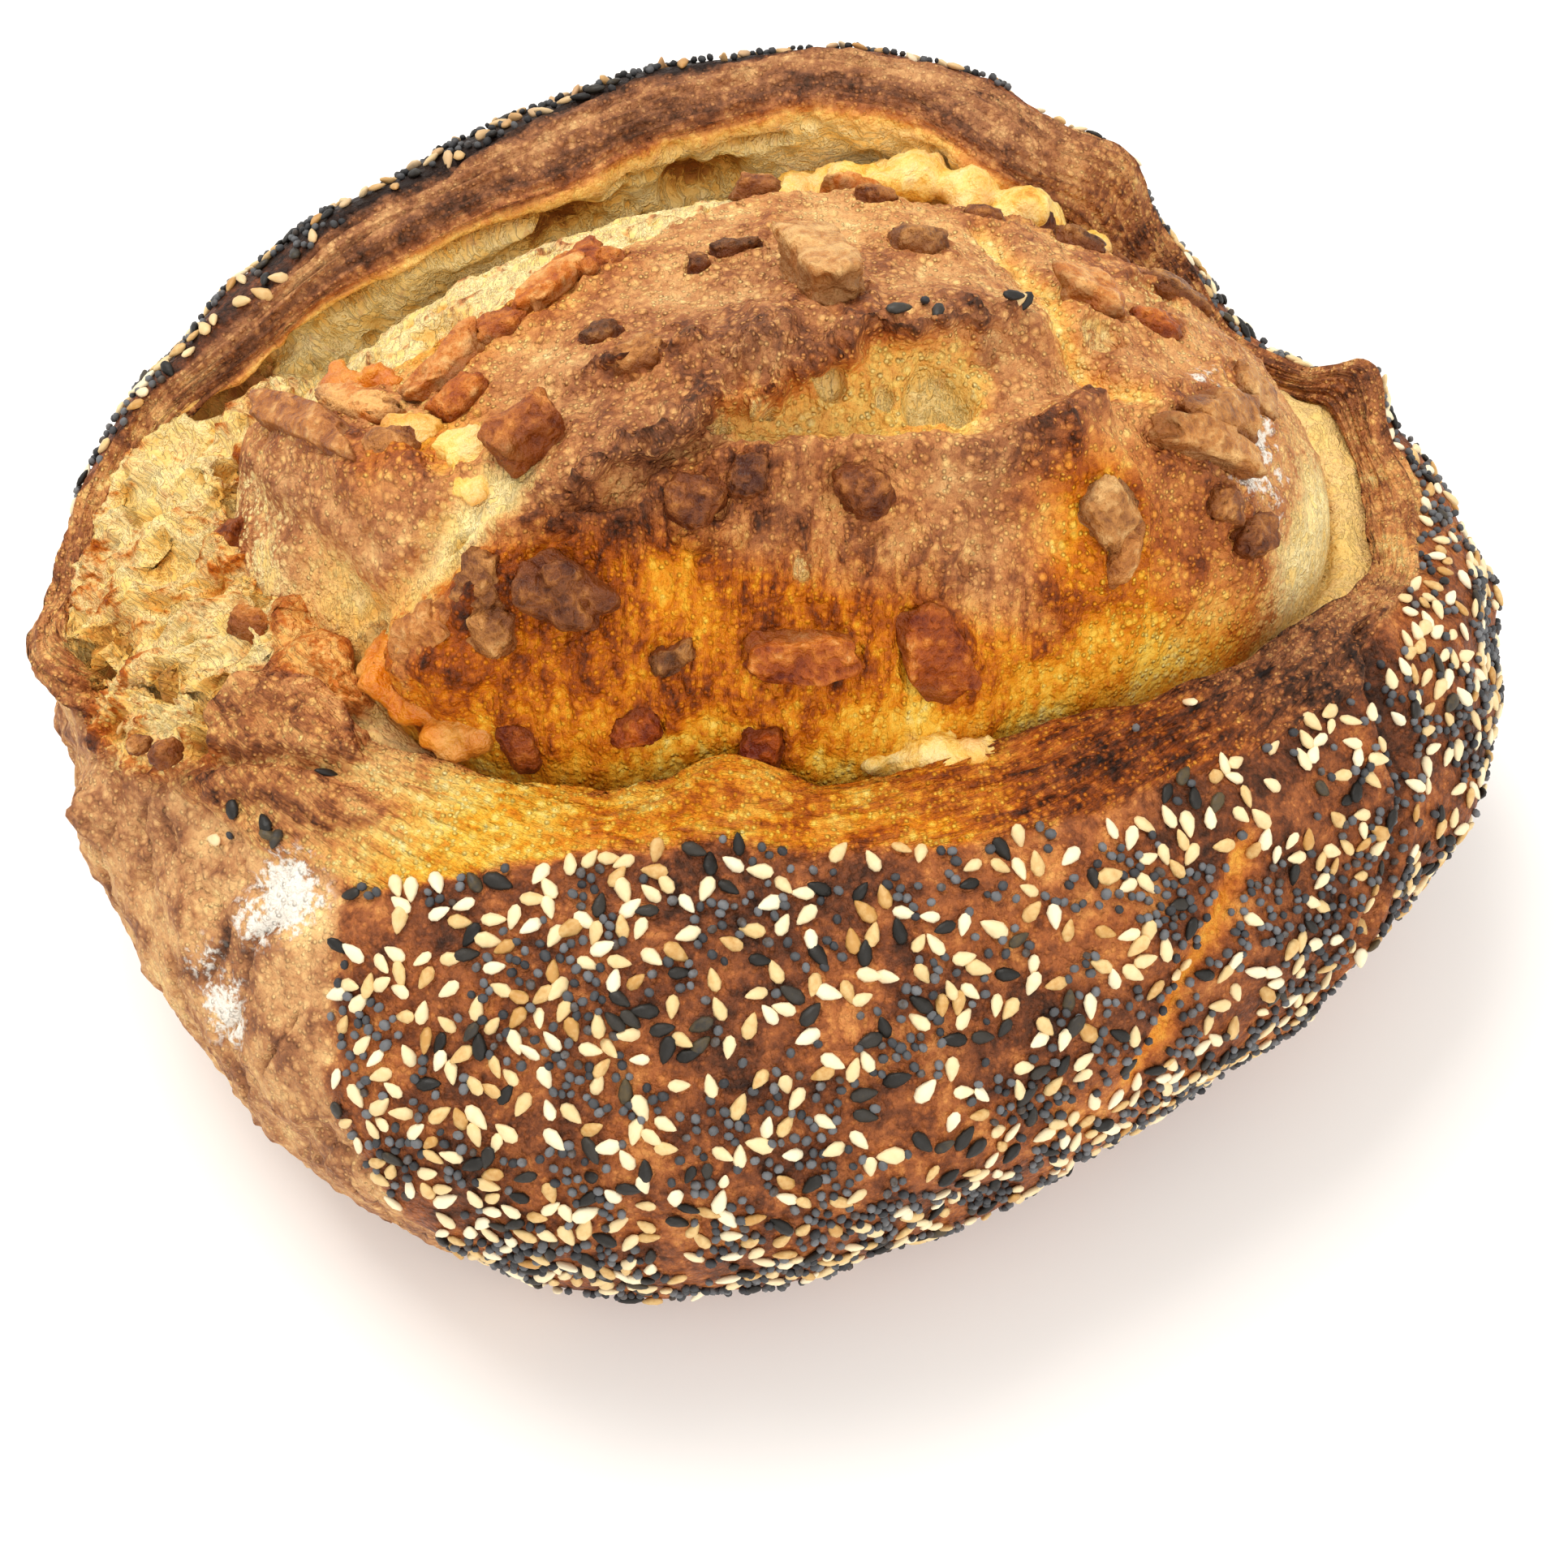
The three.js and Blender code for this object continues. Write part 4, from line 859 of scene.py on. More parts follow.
def oneSeed(k):  # a drop shape along X, blunt at one end and pointed at the other
    bpy.ops.mesh.primitive_uv_sphere_add(segments=k["segments"], ring_count=k["rings"], radius=1)
    seed = bpy.context.object
    editAll()
    bpy.ops.transform.rotate(value=math.pi / 2, orient_axis="Y", center_override=(0, 0, 0))
    bpy.ops.mesh.quads_convert_to_tris()
    bpy.ops.object.mode_set(mode="OBJECT")
    mesh = seed.data
    points = coords(mesh)
    faces = np.array([list(p.vertices) for p in mesh.polygons])
    narrow = 1 - k["point"] * smooth(-0.35, 1.0, points[:, 0])
    points = points * np.stack([narrow * 0 + 1, narrow, 0.5 + 0.5 * narrow], -1)
    points *= np.array([k["length"], k["width"], k["thick"]]) / 2
    bpy.data.objects.remove(seed)
    bpy.data.meshes.remove(mesh)
    return points, faces


def scatterSeeds(grid, seedsOn, info, dome):
    segments = grid.shape[1]
    normal = facing(grid)
    across = np.linalg.norm(np.roll(grid, -1, 1) - grid, axis=-1)
    upward = np.linalg.norm(np.diff(grid, axis=0, append=grid[-1:]), axis=-1)
    taken = {}  # what already lies in each block of space

    def crowded(place, apart):
        px, py, pz = map(float, place)
        kx, ky, kz = (int(v // seedBlock) for v in (px, py, pz))
        for dx, dy, dz in neighbours:
            for ox, oy, oz, room in taken.get((kx + dx, ky + dy, kz + dz), ()):
                reach = 0.5 * (apart + room)
                if (px - ox) ** 2 + (py - oy) ** 2 + (pz - oz) ** 2 < reach * reach:
                    return True
        taken.setdefault((kx, ky, kz), []).append((px, py, pz, apart))
        return False

    made = []
    rightSide = hill((((info["deg"] - 350 + 180) % 360) - 180) / 34) * smooth(4.2, 5.2, info["pos"])
    leftFront = smooth(266, 250, info["deg"]) * smooth(232, 240, info["deg"])
    for kind, k in seedKinds.items():
        random = np.random.default_rng(k["seed"])
        shape, faces = oneSeed(k)
        clump = np.clip(1 + k["clump"] * ripples(grid, 10, 3, k["seed"]) * 1.8, 0.03, 4)
        clump *= 0.5 + 0.5 * smooth(2.8, 4.2, info["pos"])
        clump *= 1 + k["right"] * rightSide + k["left"] * leftFront
        weight = (across * upward * seedsOn * clump)[:-1]
        weight = np.where(seedsOn[:-1] > 0.5, weight, 0).ravel()
        picks = random.choice(weight.size, size=k["count"] * 8, p=weight / weight.sum())
        places, normals = [], []
        for strayKind, degrees, station in straySeeds:
            if strayKind == kind:
                column = int(round(degrees / 360 * segments)) % segments
                row = int(np.argmin(np.abs(info["pos"][:, column] - station)))
                places.append(grid[row, column])
                normals.append(normal[row, column])
                crowded(grid[row, column], k["apart"])
        for strayKind, plan in domeSeeds:
            if strayKind == kind:
                gap = ((dome[:, :2] - np.array(plan)) ** 2).sum(1)
                nearest = dome[gap < 4]
                places.append(nearest[nearest[:, 2].argmax()])
                normals.append(np.array([0, -0.3, 0.95]))
        for pick in picks:
            if len(places) >= k["count"] * detail:
                break
            row, column = divmod(int(pick), segments)
            u, v = random.random(2)
            beside = (column + 1) % segments
            lower, upper = (mixed(grid[level, column], grid[level, beside], u) for level in (row, row + 1))
            place = mixed(lower, upper, v)
            if not crowded(place, k["apart"]):
                places.append(place)
                normals.append(normal[row, column])
        places, normals = np.array(places), np.array(normals)
        count = len(places)
        spin = random.random(count) * 2 * np.pi
        lean = random.normal(0, k["tilt"], (count, 3))
        bearing = np.degrees(np.arctan2(places[:, 1], places[:, 0]))
        high = hill((bearing - 108) / 50) * smooth(66, 86, places[:, 2])  # the scorched top of the ear
        lean *= (1 + 2.2 * high * (random.random(count) < 0.4))[:, None]
        stand = normals + lean * 0.7
        stand /= np.linalg.norm(stand, axis=1, keepdims=True)
        guide = np.where(np.abs(stand[:, 2:]) < 0.9, [[0, 0, 1.0]], [[1.0, 0, 0]])
        side = np.cross(stand, guide)
        side /= np.linalg.norm(side, axis=1, keepdims=True)
        other = np.cross(stand, side)
        ahead = side * np.cos(spin)[:, None] + other * np.sin(spin)[:, None]
        left = np.cross(stand, ahead)
        size = 1 + random.normal(0, 0.09, count)
        lift = k["thick"] * (0.5 - k["sunk"])
        own = (shape[None, :, :1] * ahead[:, None] + shape[None, :, 1:2] * left[:, None]
               + shape[None, :, 2:] * stand[:, None])
        points = places[:, None] + normals[:, None] * lift + size[:, None, None] * own
        points[..., 2] = np.maximum(points[..., 2], 0.05)  # none goes through the table
        numbered = (faces[None] + np.arange(count)[:, None, None] * len(shape)).reshape(-1, 3)
        mesh = bpy.data.meshes.new(kind)
        mesh.from_pydata(inFrame(points.reshape(-1, 3)).tolist(), [], numbered.tolist())
        setField(mesh, "tone", np.repeat(random.random(count), len(shape)))
        setField(mesh, "burnt", np.repeat(high * (0.5 + 0.5 * random.random(count)), len(shape)))
        setField(mesh, "local", shape[None] + random.random((count, 1, 3)) * 40)
        piece = bpy.data.objects.new(kind, mesh)
        bpy.context.collection.objects.link(piece)
        mesh.polygons.foreach_set("use_smooth", [True] * len(mesh.polygons))
        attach(piece, "root")
        made.append(piece)
        print(kind, count, len(numbered))
    return made


def crumbAt(x, y):
    degrees = np.degrees(np.arctan2(y, x))
    return domeRing(np.array([degrees]), np.hypot(x, y) / valleyRadius(np.array([degrees])))[0]


def turned(degrees, normal):  # three directions of a piece that stands on the crumb
    axis = np.cross([0, 0, 1.0], normal)
    s, c = np.linalg.norm(axis), normal[2]
    k = axis / max(s, 1e-9)
    skew = np.array([[0, -k[2], k[1]], [k[2], 0, -k[0]], [-k[1], k[0], 0]])
    stand = np.eye(3) + s * skew + (1 - c) * skew @ skew
    a = math.radians(degrees)
    spin = np.array([[math.cos(a), -math.sin(a), 0], [math.sin(a), math.cos(a), 0], [0, 0, 1]])
    return stand @ spin


def lumpPoints(points, p, seed):  # carves a block of the settings' size and sets it on the crumb
    rounded = points / np.linalg.norm(points, axis=1, keepdims=True)
    power = 2 + 6 * p["square"]
    boxy = rounded / (np.abs(rounded) ** power).sum(1, keepdims=True) ** (1 / power)
    long = p["size"][0] / p["size"][1]
    place = boxy * np.array([long, 1, 1])
    # slanted cut ends, a taper and a few dents, so that no two pieces are alike
    random = np.random.default_rng(seed)
    slant, taper, skew = (random.uniform(-most, most) for most in (0.2, 0.15, 0.12))
    boxy = boxy * np.stack([boxy[:, 0] * 0 + 1, 1 + taper * boxy[:, 0], 1 + skew * boxy[:, 0]], -1)
    boxy[:, 0] += slant * boxy[:, 1] / long
    for _ in range(p.get("cuts", 3)):  # flat faces left by the knife
        away = random.normal(size=3) * np.array([1, 1, 0.6])
        away /= np.linalg.norm(away)
        boxy -= np.maximum(boxy @ away - random.uniform(0.72, 0.95), 0)[:, None] * away * 0.9
    coarse, fine = ripples(place, 1.2, 1, seed), ripples(place, 0.5, 4, seed + 9)
    boxy *= 1 + p.get("rough", 0.20) * coarse[:, None] + 0.16 * fine[:, None]
    # the lower part of each lump, which the material darkens as painted shade
    sides = smooth(0.72, 0.35, boxy[:, 2] / boxy[:, 2].max())
    cut = creases(place, 0.8, 3, seed + 5)
    boxy *= 1 - 0.13 * smooth(0.55, 0.95, cut)[:, None]
    points = boxy * np.array(p["size"]) / 2 * 1.02
    points[:, 1] += p.get("bend", 0) * (points[:, 0] ** 2 / p["size"][0] - p["size"][0] / 8)
    step = 1.5  # mm to each side, for the way that the crumb faces here
    x, y = p["at"]
    normal = np.cross(crumbAt(x + step, y) - crumbAt(x - step, y),
                      crumbAt(x, y + step) - crumbAt(x, y - step))
    normal /= np.linalg.norm(normal)
    centre = crumbAt(x, y) + normal * (p["out"] - 0.38) * p["size"][2]
    # edge: the lower sides and knife grooves, painted shade in the material
    values = {"edge": np.clip(sides + 0.5 * smooth(0.5, 0.9, cut), 0, 1),
              "shade": sides * 0 + p.get("shade", 0.2), "dark": sides * 0 + p["dark"] + 0.5}
    return points @ turned(p["turn"], normal).T + centre, values


def chopped(name, cuts):  # a plain block cut into small faces
    bpy.ops.mesh.primitive_cube_add(size=2)
    block = bpy.context.object
    block.name = block.data.name = name
    editAll()
    bpy.ops.mesh.subdivide(number_cuts=cuts)
    bpy.ops.object.mode_set(mode="OBJECT")
    return block


def shapeLump(block, p, seed):
    points, values = lumpPoints(coords(block.data), p, seed)
    setCoords(block.data, points)
    for key, numbers in values.items():
        setField(block.data, key, numbers)
    block.data.update()


def makeLump(name, p):
    lump = chopped(name, 11)
    shapeLump(lump, p, 300 + p["seed"])
    bpy.ops.object.modifier_add(type="SUBSURF")
    lump.modifiers[-1].levels = lump.modifiers[-1].render_levels = 1
    bpy.ops.object.modifier_apply(modifier=lump.modifiers[-1].name)
    bpy.ops.object.shade_smooth()
    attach(lump, "root")
    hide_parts(name)
    bpy.ops.object.select_all(action="DESELECT")
    return lump


def makeNubs():
    made = []
    for number, (at, long, wide, tall, turn, rosy, dark) in enumerate(nubs):
        block = chopped("filling_nubs", 9)
        p = {"at": at, "size": (long, wide, tall), "turn": turn, "out": 0.4, "cuts": number % 3,
             "square": 0.05 + 0.12 * (number % 3), "shade": rosy, "dark": dark}
        shapeLump(block, p, 400 + number)
        made.append(block)
    small = joined(made)
    bpy.ops.object.shade_smooth()
    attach(small, "root")
    bpy.ops.object.select_all(action="DESELECT")
    return small


# melted cheese: x, y, z and radius of each blob of a run
cheese = {
    "cheese_back": {
        "voxel": 0.55, "knobs": 4, "flat": 0.7, "orange": 0.0,
        "runs": [(4, 55, 79, 5.5), (11, 55.5, 80, 6.2), (18, 55, 80.5, 6.5), (25, 53, 81, 7), (32, 50, 81, 7),
                 (39, 47, 80, 6.6), (46, 44, 77, 5.8), (12, 50.5, 84.5, 4.5), (21, 49.5, 85.5, 5.5),
                 (29.5, 46.5, 85.5, 5), (37, 43, 84.5, 5)]},
    "cheese_left": {"voxel": 0.4, "knobs": 5, "flat": 0.5, "orange": 0.25,
                    "runs": [(-43.5, -14, 90, 4.4), (-36.5, -19.4, 92, 4.2), (-34.5, -24.5, 91.5, 3.8)]},
    "cheese_lump": {"voxel": 0.4, "knobs": 3, "flat": 0.75, "orange": 1.0,
                    "runs": [(-55, 1.2, 84.4, 4.2), (-51, 1.5, 86, 3.2)]},
    "cheese_front_left": {"voxel": 0.4, "knobs": 16, "flat": 0.65, "orange": 0.85,
                          "runs": [(-45.2, -35.4, 70, 5), (-41, -38.8, 69.8, 5.4), (-36.4, -42, 68, 4.8)]},
    "cheese_front": {"voxel": 0.4, "knobs": 12, "flat": 0.9, "orange": -0.1,
                     "runs": [(14.5, -44, 63.8, 3.4), (19.5, -45, 65, 3.8), (25, -46, 65, 3.4)]},
}


def makeCheese(name, p):
    blobs = []
    random = np.random.default_rng(len(p["runs"]) + 70)
    for x, y, z, radius in p["runs"]:
        knobs = [(*random.uniform(-0.8, 0.8, 2), random.uniform(-0.4, 0.35), random.uniform(0.3, 0.55))
                 for _ in range(p["knobs"])]  # sideways, up and size, as shares of the blob's radius
        for ox, oy, oz, share in [(0, 0, 0, 0.85)] + knobs:
            bpy.ops.mesh.primitive_ico_sphere_add(
                subdivisions=3, radius=radius * share, scale=(1, random.uniform(0.7, 1), p["flat"]),
                location=(x + ox * radius, y + oy * radius, z + oz * radius))
            blobs.append(bpy.context.object)
    blob = joined(blobs)
    blob.name = blob.data.name = name
    bpy.ops.object.transform_apply(location=True, rotation=True, scale=True)
    melt = blob.modifiers.new("melt", "REMESH")
    melt.mode, melt.voxel_size = "VOXEL", p["voxel"]
    bpy.ops.object.modifier_apply(modifier="melt")
    soften = blob.modifiers.new("soften", "SMOOTH")
    soften.factor, soften.iterations = 0.8, 12
    bpy.ops.object.modifier_apply(modifier="soften")
    points = coords(blob.data)
    outward = np.array([v.normal for v in blob.data.vertices])
    drips = ripples(points * np.array([1, 0.6, 0.6]), 6, 3, 61)
    ropes = creases(points * np.array([1, 0.7, 0.7]), 7, 2, 62)
    threads = creases(points * np.array([1, 0.5, 0.25]) + 0.4 * drips[:, None], 1.8, 2, 63)
    points += outward * (0.3 + 0.9 * drips + 0.5 * (ropes - 0.5) + 0.5 * (threads - 0.5))[:, None]
    setCoords(blob.data, points)
    setField(blob.data, "orange", p["orange"] + 0.5 * drips)
    blob.data.update()
    bpy.ops.object.shade_smooth()
    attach(blob, "root")
    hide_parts(name)
    bpy.ops.object.select_all(action="DESELECT")
    return blob


# node helpers
def shade(name):
    material = bpy.data.materials.new(name)
    material.use_nodes = True
    tree = material.node_tree
    tree.nodes.clear()
    output = tree.nodes.new("ShaderNodeOutputMaterial")
    shader = tree.nodes.new("ShaderNodeBsdfPrincipled")
    tree.links.new(shader.outputs[0], output.inputs[0])
    return material, tree, shader


def join(tree, value, socket):
    if isinstance(value, bpy.types.NodeSocket):
        tree.links.new(value, socket)
    else:
        socket.default_value = value


def put(tree, kind, **values):
    made = tree.nodes.new("ShaderNode" + kind)
    for key, value in values.items():
        if key.replace("_", " ") in made.inputs:
            join(tree, value, made.inputs[key.replace("_", " ")])
        else:
            setattr(made, key, value)
    return made


def maths(tree, operation, *values):
    made = tree.nodes.new("ShaderNodeMath")
    made.operation = operation
    for value, socket in zip(values, made.inputs):
        join(tree, value, socket)
    return made.outputs[0]


def times(tree, a, b):
    return maths(tree, "MULTIPLY", a, b)


def summed(tree, start, *parts):  # start plus each value less its middle, times its share
    total = start
    for value, middle, share in parts:
        if isinstance(total, bpy.types.NodeSocket):
            rest = maths(tree, "SUBTRACT", total, middle * share)
        else:
            rest = total - middle * share
        total = maths(tree, "MULTIPLY_ADD", value, share, rest)
    return total


def spanned(tree, value, low, high, toLow=0.0, toHigh=1.0):
    made = tree.nodes.new("ShaderNodeMapRange")
    made.interpolation_type = "SMOOTHSTEP"
    tree.links.new(value, made.inputs["Value"])
    for key, number in (("From Min", low), ("From Max", high), ("To Min", toLow), ("To Max", toHigh)):
        made.inputs[key].default_value = number
    return made.outputs["Result"]


def blended(tree, share, a, b):
    made = tree.nodes.new("ShaderNodeMix")
    made.data_type, made.clamp_factor = "RGBA", True
    for index, value in ((0, share), (6, a), (7, b)):
        join(tree, value, made.inputs[index])
    return made.outputs[2]


def rgb(text):  # a screen colour such as "c98a4b" as a linear one
    parts = [int(text[i:i + 2], 16) / 255 for i in (0, 2, 4)]
    return [c / 12.92 if c <= 0.04045 else ((c + 0.055) / 1.055) ** 2.4 for c in parts] + [1]


def ramp(tree, value, stops):
    made = tree.nodes.new("ShaderNodeValToRGB")
    tree.links.new(value, made.inputs[0])
    points = made.color_ramp.elements
    while len(points) < len(stops):
        points.new(0.5)
    for point, (position, colour) in zip(points, stops):
        point.position, point.color = position, rgb(colour)
    return made.outputs[0]


def noise(tree, place, size, octaves=4.0, rough=0.55, distort=0.0):
    return put(tree, "TexNoise", Vector=place, Scale=1 / size, Detail=octaves, Roughness=rough,
               Distortion=distort).outputs["Fac"]


def mask(tree, name):
    return put(tree, "Attribute", attribute_name=name).outputs["Fac"]


def skin(tree, shader, colour, rough, height, distance, strength=1.0, specular=0.5):
    # what the food's materials end with: colour, gloss and a small relief
    relief = put(tree, "Bump", Height=height, Strength=strength, Distance=distance).outputs[0]
    for name, value in (("Base Color", colour), ("Roughness", rough), ("Specular IOR Level", specular),
                        ("Normal", relief)):
        join(tree, value, shader.inputs[name])


def newGroup(name, inputs, outputs):
    tree = bpy.data.node_groups.new(name, "ShaderNodeTree")
    for label, kind in inputs:
        tree.interface.new_socket(name=label, in_out="INPUT", socket_type="NodeSocket" + kind)
    for label, kind in outputs:
        tree.interface.new_socket(name=label, in_out="OUTPUT", socket_type="NodeSocket" + kind)
    return tree, tree.nodes.new("NodeGroupInput").outputs, tree.nodes.new("NodeGroupOutput").inputs


def placed(tree, group, **values):  # a shared group in a material, with that material's own values
    made = tree.nodes.new("ShaderNodeGroup")
    made.node_tree = group
    for label, value in values.items():
        join(tree, value, made.inputs[label.replace("_", " ")])
    return made.outputs


def mottleGroup():  # coarse and fine mottling that baking gives to everything
    tree, given, result = newGroup(
        "mottle", [("Place", "Vector"), ("Coarse Scale", "Float"), ("Fine Scale", "Float")],
        [("Coarse", "Float"), ("Fine", "Float"), ("Height", "Float")])
    place = given["Place"]
    coarse = put(tree, "TexNoise", Vector=place, Scale=given["Coarse Scale"], Detail=4.0, Roughness=0.6,
                 Distortion=0.3).outputs["Fac"]
    fine = put(tree, "TexNoise", Vector=place, Scale=given["Fine Scale"], Detail=3.0,
               Roughness=0.6).outputs["Fac"]
    height = summed(tree, coarse, (fine, 0.5, 0.5))
    for label, value in (("Coarse", coarse), ("Fine", fine), ("Height", height)):
        tree.links.new(value, result[label])
    return tree


def blisterGroup():  # small raised bubbles, each a little different
    tree, given, result = newGroup("blisters", [("Place", "Vector"), ("Scale", "Float")],
                                   [("Bubble", "Float")])
    cells = put(tree, "TexVoronoi", Vector=given["Place"], Scale=given["Scale"])
    tone = put(tree, "SeparateColor", Color=cells.outputs["Color"]).outputs[0]
    dome = spanned(tree, cells.outputs["Distance"], 0.62, 0.15)
    tree.links.new(times(tree, dome, spanned(tree, tone, 0.1, 0.9)), result["Bubble"])
    return tree


def scorchAndShadeGroup():  # darkens a colour under a mask: where the oven scorched the seeds, and as painted shade on the sausage's lower sides
    tree, given, result = newGroup(
        "scorchAndShade", [("Colour", "Color"), ("Burnt Colour", "Color"), ("Mask", "Float"), ("Amount", "Float")],
        [("Colour", "Color")])
    share = times(tree, given["Mask"], given["Amount"])
    tree.links.new(blended(tree, share, given["Colour"], given["Burnt Colour"]), result["Colour"])
    return tree


mottle, blisters, scorchAndShade = mottleGroup(), blisterGroup(), scorchAndShadeGroup()

crustShades = {
    "dry": [(0.0, "fdeebb"), (0.2, "f6d896"), (0.34, "ecc080"), (0.46, "dba970"), (0.57, "c48e5c"),
            (0.68, "a06a44"), (0.8, "754b33"), (0.9, "4e3424"), (1.0, "281a15")],
    "oily": [(0.0, "fde58a"), (0.2, "f8cb50"), (0.34, "eeaa2c"), (0.46, "de8816"), (0.57, "c66a10"),
             (0.68, "9e4a0e"), (0.8, "6c300e"), (0.9, "43200e"), (1.0, "20130c")],
    "crumb": [(0.0, "865020"), (0.2, "bd8036"), (0.42, "ecb95a"), (0.68, "fadb8c"), (1.0, "feedb4")],
    "melt": [(0.15, "c2560a"), (0.4, "e08414"), (0.6, "f2b030"), (0.85, "f8d268")],
    "flour": "faf4e6",
}


def crustMaterial():
    material, tree, shader = shade("baked_crust")
    place = put(tree, "TexCoord").outputs["Object"]
    patches = placed(tree, mottle, Place=place, Coarse_Scale=240.0, Fine_Scale=900.0)
    middle, small = patches["Coarse"], patches["Fine"]
    tiny, large = (placed(tree, blisters, Place=place, Scale=scale)["Bubble"] for scale in (1400.0, 760.0))
    bubbled = maths(tree, "MAXIMUM", tiny, times(tree, large, 0.85))
    paleFleck = times(tree, bubbled, mask(tree, "pebble"))
    flow = put(tree, "Attribute", attribute_name="flow").outputs["Vector"]
    streaks = noise(tree, flow, 1.0, 4, 0.65)
    streaky = times(tree, maths(tree, "SUBTRACT", streaks, 0.5), mask(tree, "streak"))
    # thin strands where the noises cross their middle, the threads of torn crumb
    offMiddle = [maths(tree, "ABSOLUTE", maths(tree, "SUBTRACT", value, 0.5)) for value in (middle, streaks)]
    strands = maths(tree, "MAXIMUM", *(spanned(tree, value, 0.045, 0.0) for value in offMiddle))
    soft = mask(tree, "crumb")
    threads = times(tree, strands, soft)

    tone = summed(tree, mask(tree, "toast"), (middle, 0.5, 0.54), (small, 0.5, 0.36),
                  (paleFleck, 0.27, -0.27), (streaky, 0, 0.8))
    oily = summed(tree, mask(tree, "oily"), (middle, 0.5, 0.5))
    colour = blended(tree, oily, ramp(tree, tone, crustShades["dry"]), ramp(tree, tone, crustShades["oily"]))
    # the crumb colour is darkened by the painted shade of its cells and hollows
    crumbTone = summed(tree, 0.78, (middle, 0.5, 0.9), (small, 0.5, 0.35), (threads, 0.3, 0.2),
                       (mask(tree, "caveShade"), 0, -0.7))
    crumbColour = ramp(tree, crumbTone, crustShades["crumb"])
    colour = blended(tree, times(tree, soft, spanned(tree, tone, 0.62, 0.38)), colour, crumbColour)
    meltTone = summed(tree, 0.52, (streaks, 0.5, 0.5), (middle, 0.5, 0.8))
    meltTop = spanned(tree, summed(tree, tone, (middle, 0.5, 0.8)), 0.6, 0.3)
    meltShare = times(tree, mask(tree, "melt"), meltTop)
    colour = blended(tree, meltShare, colour, ramp(tree, meltTone, crustShades["melt"]))
    dust = mask(tree, "flour")
    grains = spanned(tree, summed(tree, small, (dust, 0, 0.45), (middle, 0.5, 0.5)), 0.6, 0.8)
    dusting = times(tree, grains, spanned(tree, dust, 0.04, 0.35))
    colour = blended(tree, times(tree, dusting, 0.88), colour, rgb(crustShades["flour"]))
    rough = summed(tree, 0.56, (oily, 0.3, -0.2), (small, 0.5, 0.3), (dusting, 0, 0.4))
    height = summed(tree, patches["Height"], (paleFleck, 0, 0.34), (streaky, 0, 1.6), (threads, 0, 0.3))
    height = times(tree, height, spanned(tree, soft, 0.0, 1.0, 1.0, 0.5))
    skin(tree, shader, colour, maths(tree, "MAXIMUM", rough, 0.3), height, 0.0017, specular=0.15)
    return material


sausageShades = {
    "brown": [(0.1, "3c1e0c"), (0.32, "7a4a24"), (0.55, "b67c40"), (0.85, "e2b474")],
    "rosy": [(0.15, "661e02"), (0.4, "a44a0a"), (0.6, "cc7220"), (0.85, "eeb066")],
    # the painted shade colour of the lumps' lower sides and grooves
    "side": "6a2e08",
}


def sausageMaterial():
    material, tree, shader = shade("browned_sausage")
    place = put(tree, "TexCoord").outputs["Object"]
    patches = placed(tree, mottle, Place=place, Coarse_Scale=260.0, Fine_Scale=1100.0)
    pitted = placed(tree, blisters, Place=place, Scale=620.0)["Bubble"]
    tone = summed(tree, 0.55, (patches["Coarse"], 0.5, 1.2), (patches["Fine"], 0.5, 0.5),
                  (pitted, 0.25, 0.14), (mask(tree, "dark"), 0.7, -0.42))
    colour = blended(tree, mask(tree, "shade"), ramp(tree, tone, sausageShades["brown"]),
                     ramp(tree, tone, sausageShades["rosy"]))
    # lower sides and knife grooves take a darker colour: painted shade
    shadedSides = times(tree, mask(tree, "edge"), spanned(tree, patches["Coarse"], 0.3, 0.6, 0.5, 1.0))
    colour = placed(tree, scorchAndShade, Colour=colour, Burnt_Colour=rgb(sausageShades["side"]), Mask=shadedSides,
                    Amount=0.7)["Colour"]
    rough = spanned(tree, patches["Fine"], 0.2, 0.8, 0.34, 0.56)
    height = summed(tree, patches["Height"], (pitted, 0, 0.15))
    skin(tree, shader, colour, rough, height, 0.0016, specular=0.25)
    return material


cheeseShades = {
    "yellow": [(0.2, "d68e20"), (0.36, "f0b848"), (0.5, "fad070"), (0.75, "fde29c")],
    "orange": [(0.2, "963e00"), (0.38, "c46204"), (0.56, "d87c0a"), (0.8, "e6962a")],
}


def cheeseMaterial():
    material, tree, shader = shade("melted_cheese")
    place = put(tree, "TexCoord").outputs["Object"]
    patches = placed(tree, mottle, Place=place, Coarse_Scale=210.0, Fine_Scale=900.0)
    tone = summed(tree, 0.5, (patches["Coarse"], 0.5, 1.4), (patches["Fine"], 0.5, 0.3))
    share = summed(tree, mask(tree, "orange"), (patches["Coarse"], 0.5, 1.2))
    colour = blended(tree, share, ramp(tree, tone, cheeseShades["yellow"]),
                     ramp(tree, tone, cheeseShades["orange"]))
    shader.inputs["Subsurface Weight"].default_value = 0.15
    shader.inputs["Subsurface Radius"].default_value = (0.004, 0.0025, 0.001)
    shader.inputs["Subsurface Scale"].default_value = 0.8
    rough = spanned(tree, patches["Fine"], 0.2, 0.8, 0.28, 0.5)
    skin(tree, shader, colour, rough, patches["Height"], 0.0015, strength=0.9)
    return material


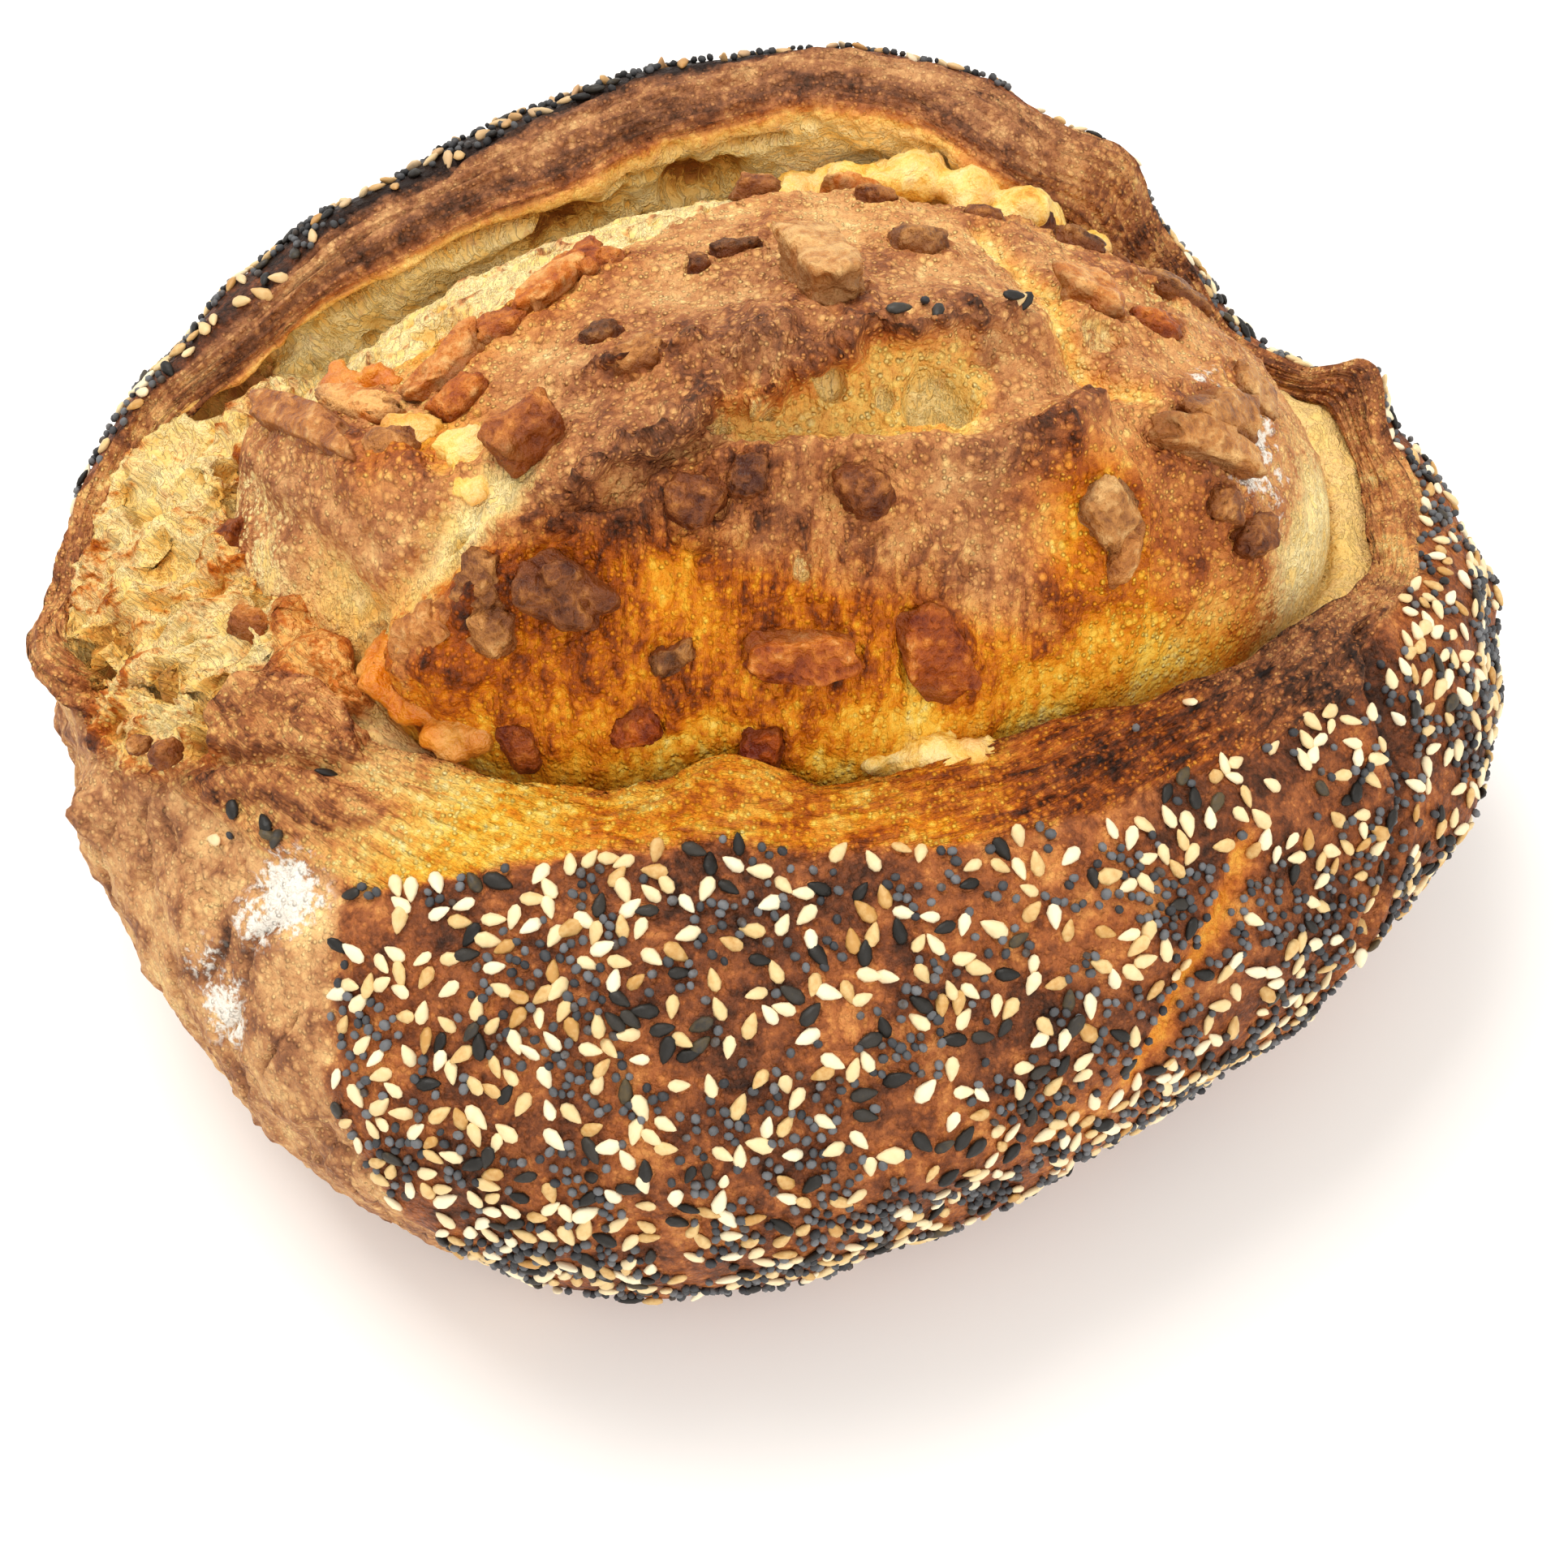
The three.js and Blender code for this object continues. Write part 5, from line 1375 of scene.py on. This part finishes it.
seedShades = {
    "sesame_pale": {"stops": [(0.0, "c08f4c"), (0.2, "dfbd80"), (0.55, "eed6a6"), (1.0, "f6e8c6")],
                    "burnt": "a8703c", "rough": (0.38, 0.55), "bump": 0.25},
    "sesame_black": {"stops": [(0.0, "191713"), (0.5, "26231f"), (0.85, "38332c"), (1.0, "57492f")],
                     "burnt": "100e0d", "rough": (0.42, 0.6), "bump": 0.4},
    "poppy": {"stops": [(0.0, "313133"), (0.4, "505153"), (0.8, "747577"), (1.0, "4c4036")],
              "burnt": "191616", "rough": (0.5, 0.7), "bump": 0.6},
}


def seedMaterial(kind):
    p = seedShades[kind]
    material, tree, shader = shade(kind + "_skin")
    place = put(tree, "Attribute", attribute_name="local").outputs["Vector"]
    fine = noise(tree, place, 0.8, 3)
    tone = summed(tree, mask(tree, "tone"), (fine, 0.5, 0.4))
    colour = placed(tree, scorchAndShade, Colour=ramp(tree, tone, p["stops"]), Burnt_Colour=rgb(p["burnt"]),
                    Mask=mask(tree, "burnt"), Amount=0.85)["Colour"]
    rough = spanned(tree, fine, 0.3, 0.7, *p["rough"])
    skin(tree, shader, colour, rough, fine, 0.0003, strength=p["bump"], specular=0.3)
    return material


def addFlow(piece, downhill):  # coordinates that follow the lips or run down the dome, for the streaks
    place = coords(piece.data) / mm
    angle, radius = np.arctan2(place[:, 1], place[:, 0]), np.hypot(place[:, 0], place[:, 1])
    values = np.stack([np.cos(angle) * 10, np.sin(angle) * 10, (radius - place[:, 2]) * 0.62], -1)
    if downhill:
        values = place * np.array([0.75, 0.16, 0.16])
    setField(piece.data, "flow", values)


def dress(piece, material):
    piece.data.materials.clear()
    piece.data.materials.append(material)


crust, crustPoints, seedsOn, crustInfo = makeCrust()
dome = makeDome()
baked = crustMaterial()
for piece in (crust, dome):
    addFlow(piece, piece is dome)
    dress(piece, baked)
domePoints = coords(dome.data) / mm - np.array(loafForm["middle"])
for piece in scatterSeeds(crustPoints, seedsOn, crustInfo, domePoints):
    dress(piece, seedMaterial(piece.name))
meatSkin = sausageMaterial()
for name, settings in sausage.items():
    dress(makeLump(name, settings), meatSkin)
dress(makeNubs(), meatSkin)
melted = cheeseMaterial()
for name, settings in cheese.items():
    dress(makeCheese(name, settings), melted)
print("filling done")

# floor, light and camera
studio = {
    "floor": 3.0, "sky": 0.92, "skyColour": (1.0, 0.985, 0.965), "lens": 39.06, "sensor": 36,
    "elevation": 51.0, "distance": 232.0, "look": (0.5, -31.2, 45.0),
    "lamps": {"key": {"at": (-0.3, 0.3, 0.95), "size": 0.5, "watts": 6, "colour": (1, 0.97, 0.93)},
              "fill": {"at": (0.4, -0.8, 0.6), "size": 1.2, "watts": 5.4, "colour": (1, 0.985, 0.97)}},
}


def floorMaterial():
    material, tree, shader = shade("pale_paper")
    place = put(tree, "TexCoord").outputs["Object"]
    colour = ramp(tree, noise(tree, place, 0.4, 2), [(0.3, "f6f3ef"), (0.7, "faf8f5")])
    tree.links.new(colour, shader.inputs["Base Color"])
    shader.inputs["Roughness"].default_value = 0.85
    return material


bpy.ops.mesh.primitive_plane_add(size=studio["floor"], location=(0, 0, 0))
floor = bpy.context.object
floor.name = "floor"
dress(floor, floorMaterial())

world = bpy.data.worlds.new("studio")
world.use_nodes = True
sky = world.node_tree.nodes["Background"]
sky.inputs[0].default_value = (*studio["skyColour"], 1)
sky.inputs[1].default_value = studio["sky"]
bpy.context.scene.world = world

for name, lamp in studio["lamps"].items():
    bpy.ops.object.light_add(type="AREA", location=lamp["at"])
    light = bpy.context.object
    light.name = name
    light.data.size, light.data.energy, light.data.color = lamp["size"], lamp["watts"], lamp["colour"]
    away = np.array([0, 0, 0.05]) - np.array(lamp["at"])
    light.rotation_euler = (math.pi - math.acos(away[2] / np.linalg.norm(away)), 0,
                            math.atan2(away[1], away[0]) - math.pi / 2)

tilt = math.radians(studio["elevation"])
lookX, lookY, lookZ = (v * mm for v in studio["look"])
bpy.ops.object.camera_add(location=(lookX, lookY - studio["distance"] * mm * math.cos(tilt),
                                    lookZ + studio["distance"] * mm * math.sin(tilt)),
                          rotation=(math.pi / 2 - tilt, 0, 0))
camera = bpy.context.object
camera.data.lens, camera.data.sensor_width, camera.data.clip_start = studio["lens"], studio["sensor"], 0.01
camera.data.sensor_fit = "HORIZONTAL"
bpy.context.scene.camera = camera
bpy.context.scene.view_settings.view_transform = "Standard"
